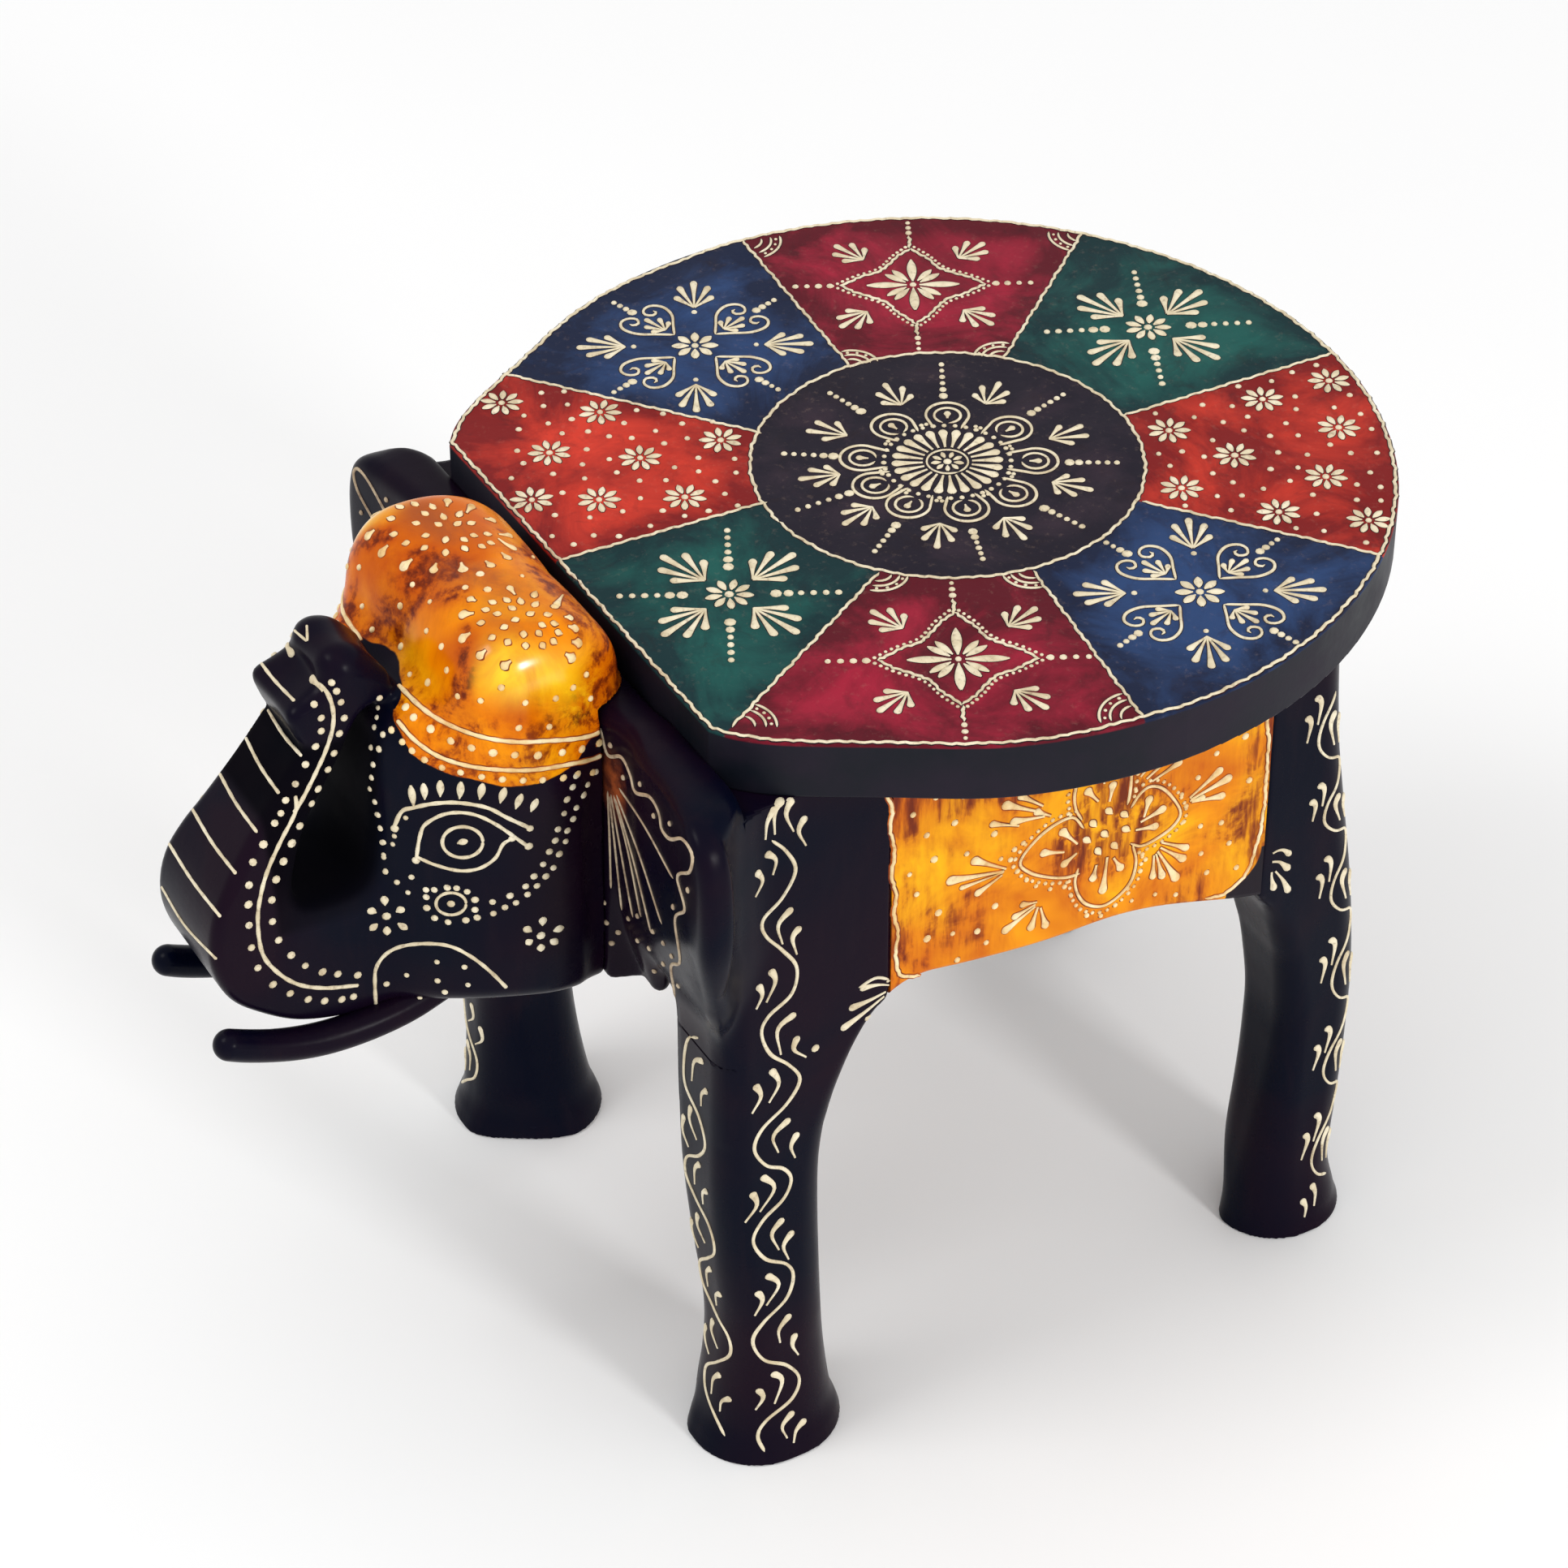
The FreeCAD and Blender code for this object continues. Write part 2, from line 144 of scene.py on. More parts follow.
def poly_field(pts, A, B):
    """Signed distance to a closed polygon on the 2-D grid A x B."""
    P = np.asarray(pts, float)
    Q = np.roll(P, -1, 0)
    a, b = np.meshgrid(A, B, indexing="ij")
    best = np.full(a.shape, 1e12)
    inside = np.zeros(a.shape, bool)
    for (x0, y0), (x1, y1) in zip(P, Q):
        ex, ey = x1 - x0, y1 - y0
        L = ex * ex + ey * ey
        if L < 1e-12:
            continue
        t = np.clip(((a - x0) * ex + (b - y0) * ey) / L, 0, 1)
        dx, dy = a - x0 - t * ex, b - y0 - t * ey
        best = np.minimum(best, dx * dx + dy * dy)
        if y0 != y1:
            hit = ((y0 > b) != (y1 > b)) & (a < (x1 - x0) * (b - y0) / (y1 - y0) + x0)
            inside ^= hit
    d = np.sqrt(best)
    return np.where(inside, -d, d).astype(np.float32)


class Grid:
    def __init__(self, lo, hi, h):
        self.h = h
        self.lo = np.array(lo, float)
        n = [int(math.ceil((b - a) / h)) + 1 for a, b in zip(lo, hi)]
        self.x = (lo[0] + h * np.arange(n[0])).astype(np.float32)
        self.y = (lo[1] + h * np.arange(n[1])).astype(np.float32)
        self.z = (lo[2] + h * np.arange(n[2])).astype(np.float32)
        self.X = self.x[:, None, None]
        self.Y = self.y[None, :, None]
        self.Z = self.z[None, None, :]
        self.shape = tuple(n)

    def full(self, f):
        return np.broadcast_to(f, self.shape).astype(np.float32)


def ellipsoid(g, c, r):
    k = np.sqrt(((g.X - c[0]) / r[0]) ** 2 + ((g.Y - c[1]) / r[1]) ** 2
                + ((g.Z - c[2]) / r[2]) ** 2)
    return (k - 1.0) * min(r) * (0.6 + 0.4 * np.clip(k, 0, 2))


def sample(F, g, p):
    """Trilinear value of F at points p."""
    q = (p - g.lo) / g.h
    i = np.clip(np.floor(q).astype(int), 0, np.array(F.shape) - 2)
    f = (q - i).clip(0, 1)
    out = 0
    for dx in (0, 1):
        for dy in (0, 1):
            for dz in (0, 1):
                w = ((f[:, 0] if dx else 1 - f[:, 0]) * (f[:, 1] if dy else 1 - f[:, 1])
                     * (f[:, 2] if dz else 1 - f[:, 2]))
                out = out + w * F[i[:, 0] + dx, i[:, 1] + dy, i[:, 2] + dz]
    return out


def nets(F, g, relax=2):
    """Quads on the zero surface of F (inside is negative)."""
    S = F < 0
    nx, ny, nz = F.shape
    acc = np.zeros((nx - 1, ny - 1, nz - 1, 3), np.float32)
    cnt = np.zeros((nx - 1, ny - 1, nz - 1), np.float32)
    cross_all = []
    for d in range(3):
        a = [slice(None)] * 3
        b = [slice(None)] * 3
        a[d], b[d] = slice(0, -1), slice(1, None)
        Fa, Fb = F[tuple(a)], F[tuple(b)]
        cross = S[tuple(a)] != S[tuple(b)]
        den = np.where(cross, Fa - Fb, 1.0)
        t = np.where(cross, Fa / den, 0).astype(np.float32)
        cross_all.append(cross)
        o1, o2 = [k for k in range(3) if k != d]
        for s1 in (0, 1):
            for s2 in (0, 1):
                sl = [slice(None)] * 3
                sl[o1] = slice(s1, F.shape[o1] - 1 + s1)
                sl[o2] = slice(s2, F.shape[o2] - 1 + s2)
                cr = cross[tuple(sl)]
                cnt += cr
                acc[..., d] += t[tuple(sl)]
                acc[..., o1] += cr * s1
                acc[..., o2] += cr * s2
    cells = np.argwhere(cnt > 0)
    vid = np.full(cnt.shape, -1, np.int64)
    vid[tuple(cells.T)] = np.arange(len(cells))
    pos = (cells + acc[tuple(cells.T)] / cnt[tuple(cells.T)][:, None]) * g.h + g.lo
    quads = []
    for d in range(3):
        cross = cross_all[d]
        o1, o2 = [k for k in range(3) if k != d]
        sl = [slice(None)] * 3
        sl[o1], sl[o2] = slice(1, -1), slice(1, -1)
        e = np.argwhere(cross[tuple(sl)])
        if not len(e):
            continue
        e[:, o1] += 1
        e[:, o2] += 1

        def at(k1, k2):
            q = e.copy()
            q[:, o1] += k1
            q[:, o2] += k2
            return vid[tuple(q.T)]

        q = np.column_stack([at(-1, -1), at(0, -1), at(0, 0), at(-1, 0)])
        out = S[tuple(e.T)]
        if d == 1:
            out = ~out
        q[~out] = q[~out][:, ::-1]
        quads.append(q)
    quads = np.vstack(quads)
    quads = quads[(quads >= 0).all(1)]
    if relax:
        edges = np.vstack([quads[:, [0, 1]], quads[:, [1, 2]], quads[:, [2, 3]], quads[:, [3, 0]]])
        for _ in range(relax):
            s = np.zeros_like(pos)
            c = np.zeros(len(pos))
            np.add.at(s, edges[:, 0], pos[edges[:, 1]])
            np.add.at(s, edges[:, 1], pos[edges[:, 0]])
            np.add.at(c, edges[:, 0], 1)
            np.add.at(c, edges[:, 1], 1)
            pos = 0.5 * pos + 0.5 * s / c[:, None]
            for _k in range(2):
                e = 0.5 * g.h
                f0 = sample(F, g, pos)
                gr = np.column_stack([
                    sample(F, g, pos + [e, 0, 0]) - sample(F, g, pos - [e, 0, 0]),
                    sample(F, g, pos + [0, e, 0]) - sample(F, g, pos - [0, e, 0]),
                    sample(F, g, pos + [0, 0, e]) - sample(F, g, pos - [0, 0, e])]) / (2 * e)
                n2 = np.maximum((gr ** 2).sum(1), 0.05)
                step = (f0 / n2)[:, None] * gr
                L = np.linalg.norm(step, axis=1)
                step *= np.minimum(1, 0.6 * g.h / np.maximum(L, 1e-9))[:, None]
                pos = pos - step
    return pos, quads


def field_dir(F, g, pos):
    e = 0.75 * g.h
    d = np.column_stack([sample(F, g, pos + v) - sample(F, g, pos - v)
                         for v in ([e, 0, 0], [0, e, 0], [0, 0, e])])
    return d / (np.linalg.norm(d, axis=1)[:, None] + 1e-9)


def flush(pos, F0, g, axis, value, where=None):
    """Pull the points near a joint plane onto it, still on the carved surface F0."""
    k = (np.abs(pos[:, axis] - value) < 0.8 * g.h) & (np.abs(sample(F0, g, pos)) < 1.2 * g.h)
    if where is not None:
        k &= where(pos)
    q = pos[k]
    q[:, axis] = value
    for _ in range(4):
        d = field_dir(F0, g, q)
        d[:, axis] = 0
        n2 = np.maximum((d ** 2).sum(1), 0.15)
        m = (sample(F0, g, q) / n2)[:, None] * d
        m *= np.minimum(1, 0.7 * g.h / np.maximum(np.linalg.norm(m, axis=1), 1e-9))[:, None]
        q -= m
    pos[k] = q
    return pos


def shade(pos, F0, F, g):
    """Outward directions: those of the carved surface up to the joints."""
    a, b = field_dir(F0, g, pos), field_dir(F, g, pos)
    return np.where((np.abs(sample(F0, g, pos)) < 0.9 * g.h)[:, None], a, b)


def build(name, pos_mm, faces, smooth=True, normals=None):
    """A mesh object from millimetre points and equal-length faces."""
    faces = np.asarray(faces)
    me = bpy.data.meshes.new(name)
    v = metres(pos_mm)
    k = faces.shape[1]
    me.vertices.add(len(v))
    me.vertices.foreach_set("co", v.astype(np.float32).ravel())
    me.loops.add(faces.size)
    me.loops.foreach_set("vertex_index", faces.astype(np.int32).ravel())
    me.polygons.add(len(faces))
    me.polygons.foreach_set("loop_start", np.arange(0, faces.size, k, dtype=np.int32))
    me.update(calc_edges=True)
    me.validate()
    if smooth:
        me.polygons.foreach_set("use_smooth", [True] * len(me.polygons))
    if normals is not None:
        me.normals_split_custom_set_from_vertices([tuple(map(float, v)) for v in normals])
    ob = bpy.data.objects.new(name, me)
    scene.collection.objects.link(ob)
    return ob


def mirrored(pos, quads):
    p = pos.copy()
    p[:, 0] *= -1
    return p, quads[:, ::-1]


HEAD_H = 0.8
LEG_H = 1.0
SOLIDS = {}      # name -> (points, quads), for drawing on


def piece(name, pos, quads, node, normals=None):
    ob = build(name, pos, quads, normals=normals)
    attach(ob, "root")
    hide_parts(node)
    SOLIDS[name] = (pos, quads)
    return ob


# ------------------------------------------------------------------ legs
JOINT_Y0, JOINT_Y1 = -66.0, 54.5
BOARD_BACK, BOARD_LOW, BOARD_TOP = -111.6, 150.0, 243.0
UNDER = 236.5

fz = [-6, 0, 4, 12, 30, 50, 75, 100, 125, 150, 180, 240]
f_out = table1(fz, [96.4, 95.8, 94.8, 92.8, 91.4, 91.0, 90.6, 90.3, 90.4, 90.5, 90.5, 90.5])
f_in = table1(fz, [52.0, 52.4, 53.6, 56.4, 60.0, 61.8, 60.2, 58.6, 58.0, 57.8, 57.8, 57.8])
f_front = table1(fz, [-121.2, -120.6, -119.2, -116.6, -114.6, -114.2, -116.0, -117.3,
                      -117.3, -117.0, -117.2, -117.4])
f_rear = table1([-6, 0, 4, 12, 30, 50, 75, 100, 114, 121, 128, 134, 141, 147, 151.5, 154.6,
                 156.8, 170, 240],
                [-75.0, -75.2, -76.2, -78.6, -81.2, -83.0, -84.2, -84.6, -83.6, -82.2,
                 -80.4, -78.4, -75.8, -73.0, -70.4, -68.0, -66.0, -66.0, -66.0])
f_rad = table1([-6, 0, 15, 35, 60, 100, 150, 240], [21, 20.5, 16.5, 13.5, 11, 9.5, 8.5, 8.5])


def post(g, xi, xo, ya, yb, r_front, r_rear_out, r_rear_in):
    """Square post with a section that changes with height."""
    z = g.z
    x0, x1 = xi(z)[None, None, :], xo(z)[None, None, :]
    y0, y1 = ya(z)[None, None, :], yb(z)[None, None, :]
    cx, hx = (x0 + x1) / 2, (x1 - x0) / 2
    cy, hy = (y0 + y1) / 2, (y1 - y0) / 2
    px, py = g.X - cx, g.Y - cy
    rf = r_front(z)[None, None, :]
    ro = r_rear_out(z)[None, None, :]
    ri = r_rear_in(z)[None, None, :]
    r = np.where(py < 0, rf, np.where(px > 0, ro, ri))
    r = np.minimum(r, np.minimum(hx, hy) - 0.2)
    qx, qy = np.abs(px) - hx + r, np.abs(py) - hy + r
    d = np.hypot(np.maximum(qx, 0), np.maximum(qy, 0)) + np.minimum(np.maximum(qx, qy), 0) - r
    return d.astype(np.float32)


f_rro = table1([-6, 0, 15, 35, 60, 100, 130, 150, 160, 166, 240],
               [21, 20.5, 16.5, 13.5, 11, 9, 7, 4.5, 1.6, 0.4, 0.4])
f_rri = table1([-6, 0, 15, 35, 60, 100, 150, 240], [21, 20.5, 16.5, 13, 10, 7, 4, 3])

# outline of the front board, seen from the front (half)
ear_line = smooth_line([(90.3, 120.0), (90.5, 150.0), (92.0, 161.0), (95.0, 172.0), (99.0, 184.0),
                        (103.0, 196.0), (105.4, 206.0), (106.0, 216.0), (105.5, 226.0), (104.0, 233.0),
                        (101.5, 238.0), (98.0, 241.0), (94.0, 242.6), (90.0, 243.0)], n=6)
low_line = smooth_line([(57.8, 120.0), (57.8, 144.0), (56.6, 148.0), (51.0, 150.2), (42.0, 151.4),
                        (0.0, 152.0)], n=6)


def ear_polygon():
    right = [tuple(p) for p in ear_line]
    left = [(-x, z) for x, z in reversed(right)]
    low = [(-x, z) for x, z in low_line] + [(x, z) for x, z in low_line[::-1]][1:]
    return right + left + low


board_face = table1([140, 150, 158, 168, 180, 195, 212, 243, 260],
                    [-117.0, -117.2, -119.0, -121.6, -123.6, -125.2, -126.0, -126.0, -126.0])


def smooth01(t):
    t = np.clip(t, 0, 1)
    return t * t * (3 - 2 * t)


def board_field(g, X):
    """The ear board; X is the distance from the middle plane."""
    d2 = poly_field(ear_polygon(), g.x, g.z)[:, None, :]
    side = smooth01((X - 41.0) / 4.5)
    face = -126.0 + (board_face(g.z)[None, None, :] + 126.0) * side
    # the ears lift forward towards their outer edge
    lift = smooth01((X - 68.0) / 36.0) * 4.4 * smooth01((g.Z - 168) / 40.0)
    # a shallow valley where the ear meets the head
    val = np.exp(-((X - 51.0) / 9.0) ** 2) * 1.5 * smooth01((g.Z - 165) / 40.0)
    face = face - lift + val
    slab = smax(d2, g.full(face - g.Y), 2.0 + 3.0 * smooth01((g.Z - 160.0) / 14.0))
    back = -111.6 - 9.0 * np.clip((X - 82.0) / 17.0, 0, 1) ** 2.2
    slab = smax(slab, g.full(g.Y - back), 4.0)
    # the lower end of the ear sinks into the leg
    return slab + 4.5 * (1 - smooth01((g.Z - 152.0) / 26.0)) * smooth01((X - 50.0) / 8.0)


def foot_ease(g, c, r0, r1, z1):
    """The flare of a foot is slighter towards the middle of the stool."""
    n = (-0.852, -0.523)
    reach = r0 + (r1 - r0) * smooth01((g.Z - 6.0) / (z1 - 6.0))
    return (g.X - c[0]) * n[0] + (g.Y - c[1]) * n[1] - reach


def join_k(g):
    return 5.0 + 8.0 * smooth01((g.Z - 168.0) / 26.0)


def lean(P):
    """The far pair of feet stands a few millimetres further out."""
    P = P.copy()
    w = 1 - smooth01(P[:, 2] / 150.0)
    far = np.where((P[:, 0] < -40.0) & (P[:, 2] < 150.0), w, 0.0)
    back = P[:, 1] > 0
    P[:, 0] -= far * np.where(back, 7.8, 3.2)
    P[:, 1] += far * np.where(back, 4.2, 2.4)
    return P


def make_front():
    h = LEG_H
    # board
    g = Grid((-112, -136, 144), (112, -108, 248), h)
    X = np.abs(g.X)
    ga = Grid((-112, -136, 144), (112, -108, 248), h)
    ga.X = X
    col = post(ga, f_in, f_out, f_front, f_rear, f_rad, f_rro, f_rri)
    slab = board_field(g, X)
    F0 = smin(smax(col, g.full(g.Z - 235.0), 5.0), slab, join_k(g))
    F = np.maximum(F0, g.Y - BOARD_BACK)
    F = np.maximum(F, BOARD_LOW - g.Z)
    p, q = nets(F, g)
    p = flush(p, F0, g, 1, BOARD_BACK)
    p = flush(p, F0, g, 2, BOARD_LOW)
    piece("front_board_carved", p, q, "front_board", shade(p, F0, F, g))
    # left leg, then its mirror
    g = Grid((46, -130, -4), (112, -60, 241), h)
    col = post(g, f_in, f_out, f_front, f_rear, f_rad, f_rro, f_rri)
    col = smax(col, foot_ease(g, (74.2, -98.8), 17.4, 26.0, 36.0), 5.0)
    F0 = smin(col, board_field(g, np.abs(g.X)), join_k(g))
    F = np.where(g.full(g.Z) >= BOARD_LOW, np.maximum(F0, BOARD_BACK - g.Y), F0)
    F = np.maximum(F, g.Z - UNDER)
    F = np.maximum(F, -g.Z)
    F = np.maximum(F, g.Y - JOINT_Y0)
    p, q = nets(F, g)
    p = flush(p, F0, g, 1, BOARD_BACK, lambda v: v[:, 2] > BOARD_LOW - 1)
    p = flush(p, F0, g, 2, BOARD_LOW, lambda v: v[:, 1] < BOARD_BACK + 1)
    p = flush(p, F0, g, 1, JOINT_Y0)
    n = shade(p, F0, F, g)
    piece("front_left_leg_carved", p, q, "front_left_leg", n)
    p, q = mirrored(p, q)
    piece("front_right_leg_carved", lean(p), q, "front_right_leg", n * [-1, 1, 1])


rz = [-6, 0, 6, 20, 40, 55, 80, 100, 130, 165, 192, 240]
r_out = table1(rz, [92.0, 91.4, 89.6, 87.2, 86.2, 86.0, 86.4, 87.2, 89.2, 90.4, 90.5, 90.5])
r_in = table1(rz, [51.6, 52.2, 54.2, 57.2, 58.4, 58.6, 58.8, 59.2, 60.4, 61.0, 61.0, 61.0])
r_front = table1([-6, 0, 6, 20, 38, 55, 70, 85, 105, 115, 126, 134, 141.6, 160, 240],
                 [60.4, 61.0, 62.4, 64.8, 67.2, 69.4, 70.5, 70.6, 67.8, 65.3, 61.9, 58.4,
                  54.5, 54.5, 54.5])
r_back = table1(rz, [101.4, 100.8, 98.8, 95.6, 96.0, 96.4, 96.4, 95.2, 90.8, 84.6, 80.8, 77.6])
r_rad = table1([-6, 0, 12, 35, 60, 100, 150, 240], [19.6, 19.0, 15, 11.5, 9.5, 8.5, 8, 8])
r_rfo = table1([-6, 0, 12, 35, 60, 100, 125, 140, 148, 240],
               [19.6, 19.0, 15, 11.5, 9, 7.5, 6, 2.5, 0.4, 0.4])
r_rfi = table1([-6, 0, 12, 35, 60, 100, 150, 240], [19.6, 19.0, 15, 11.5, 9, 7, 4, 3])


def rear_post(g):
    z = g.z
    x0, x1 = r_in(z)[None, None, :], r_out(z)[None, None, :]
    y0, y1 = r_front(z)[None, None, :], r_back(z)[None, None, :]
    cx, hx = (x0 + x1) / 2, (x1 - x0) / 2
    cy, hy = (y0 + y1) / 2, (y1 - y0) / 2
    px, py = g.X - cx, g.Y - cy
    r = np.where(py > 0, r_rad(z)[None, None, :],
                 np.where(px > 0, r_rfo(z)[None, None, :], r_rfi(z)[None, None, :]))
    r = np.minimum(r, np.minimum(hx, hy) - 0.2)
    qx, qy = np.abs(px) - hx + r, np.abs(py) - hy + r
    d = np.hypot(np.maximum(qx, 0), np.maximum(qy, 0)) + np.minimum(np.maximum(qx, qy), 0) - r
    return d.astype(np.float32)


def make_rear():
    g = Grid((46, 48, -4), (98, 106, 241), LEG_H)
    F0 = smax(rear_post(g), foot_ease(g, (71.8, 81.0), 11.8, 20.0, 40.0), 5.0)
    F = np.maximum(F0, g.Z - UNDER)
    F = np.maximum(F, -g.Z)
    F = np.maximum(F, JOINT_Y1 - g.Y)
    p, q = nets(F, g)
    p = flush(p, F0, g, 1, JOINT_Y1)
    n = shade(p, F0, F, g)
    piece("rear_left_leg_carved", p, q, "rear_left_leg", n)
    p, q = mirrored(p, q)
    piece("rear_right_leg_carved", lean(p), q, "rear_right_leg", n * [-1, 1, 1])


# ------------------------------------------------------------------ head
head_w = table1([-240, -222, -205, -192, -184, -179, -174, -168, -158, -145, -135, -128, -108],
                [17.0, 17.4, 17.8, 18.4, 20.0, 22.8, 26.6, 31.8, 38.2, 42.4, 42.8, 41.0, 40.4])
head_m = table1([130, 146, 150, 155, 162, 172, 184, 198, 214, 226, 236, 244, 252, 300],
                [0.90, 0.93, 0.95, 0.97, 0.985, 1.0, 1.0, 1.01, 1.03, 1.03, 1.0, 0.95, 0.90, 0.9])
head_prof = np.vstack([
    smooth_line([(-100.0, 148.0), (-126.0, 148.4), (-137, 149.2), (-148, 151.0), (-158, 151.8), (-167, 151.2),
                 (-176, 149.8), (-186, 149.4), (-198, 151.2), (-208, 155.4), (-214, 164), (-215, 176), (-211, 187)], n=6),
    smooth_line([(-205.4, 192.0), (-199.0, 190.8), (-192.0, 190.8), (-186.8, 192.2), (-183.8, 196.2),
                 (-182.5, 203), (-181.8, 212), (-181.2, 226),
                 (-178.6, 238), (-173.0, 246), (-162, 250), (-140, 250),
                 (-126, 245), (-100, 236)], n=6)])
trunk_w = table1([140, 184, 196, 205, 213, 225, 238, 275], [18.6, 18.6, 18.2, 17.0, 15.2, 13.6, 13.2, 13.2])
trunk_prof = smooth_line([
    (-170, 148.5), (-184, 148.6), (-196, 149.8), (-208, 153.6), (-218, 160.4), (-225.6, 168),
    (-229.6, 178), (-230.2, 187.5), (-227.6, 197.6), (-222.2, 206.6), (-215.0, 216.0),
    (-206.4, 226.8), (-199.8, 235.0), (-197.6, 238.0), (-199.4, 243.0), (-201.0, 248.4),
    (-199.6, 251.4), (-195.4, 253.4), (-191.4, 255.8), (-190.6, 260.0), (-188.0, 263.4),
    (-183.0, 264.4), (-177.0, 261.4), (-171.0, 253.0)], n=5)
trunk_inner = smooth_line([(-170.4, 246.0), (-179.0, 244.6), (-183.2, 240.0), (-186.8, 233.0),
                           (-191.6, 225.6), (-197.0, 218.0), (-202.0, 209.0), (-205.0, 200.5),
                           (-204.6, 195.0), (-201.2, 191.4), (-193.0, 190.4), (-186.0, 192.4),
                           (-182.4, 198.0), (-179.6, 207.0), (-168.0, 206.0)], n=5)

def slab_x(g, d2, hw, r):
    """A side profile given width, with rounded long edges."""
    dx = np.abs(g.X) - hw
    a, b = d2 + r, dx + r
    return (np.hypot(np.maximum(a, 0), np.maximum(b, 0)) + np.minimum(np.maximum(a, b), 0) - r).astype(np.float32)


def cap_field(g, c=(25.3, -145.1, 243.4), r=(17.6, 19.6, 31.0, 28.0), n=2.9, m=2.3):
    x = np.abs(g.X) - c[0]
    x = np.where(x < 0, x * 0.25, x)
    y = g.Y - c[1]
    z = g.Z - c[2]
    z = np.where(z < 0, z * 0.8, z)
    q = ((np.abs(x) / r[0]) ** n + (np.abs(z) / r[3]) ** n) ** (m / n)
    q = (q + (np.abs(y) / np.where(y < 0, r[1], r[2])) ** m) ** (1.0 / m)
    return (q - 1.0) * 20.0


def head_field(g):
    yz = lambda pts: poly_field(pts, g.y, g.z)[None, :, :]
    w = head_w(g.y)[None, :, None]
    mm = head_m(g.z)[None, None, :]
    block2 = yz([tuple(p) for p in head_prof])
    block = slab_x(g, g.full(block2), w * mm, 7.0)
    F = smin(block, cap_field(g), 6.0)
    t2 = yz([tuple(p) for p in trunk_prof] + [tuple(p) for p in trunk_inner] + [(-166.0, 170.0)])
    tr = np.interp(g.z, [250, 259], [3.4, 8.0])[None, None, :].astype(np.float32)
    trunk = slab_x(g, g.full(t2), trunk_w(g.z)[None, None, :] + 0 * g.X, tr)
    F = smin(F, trunk, 3.5)
    # groove between the two halves of the forehead, fading backwards
    gd = np.clip((-134.0 - g.Y) / 26.0, 0, 1)
    gd = gd * gd * (3 - 2 * gd) * np.clip((g.Z - 238) / 14.0, 0, 1)
    F = F + 1.0 * gd * np.exp(-(g.X / 8.5) ** 2)
    F = np.maximum(F, -np.maximum(-(g.Y - (-126.0)), g.Z - 243.4))
    F = np.maximum(F, g.Y - (-112.8))
    return F


def make_head():
    g = Grid((-56, -238, 138), (56, -108, 292), HEAD_H)
    F = head_field(g)
    p, q = nets(F, g)
    piece("head_carved", p, q, "head", field_dir(F, g, p))


make_front()
make_rear()
make_head()

# ------------------------------------------------------------------ raised cone work
RNG = np.random.RandomState(7)
SEG = 8
DOME = [(1.0, -0.14), (0.92, 0.42), (0.62, 0.86)]
LINE_H, DOT_H = 0.46, 0.62


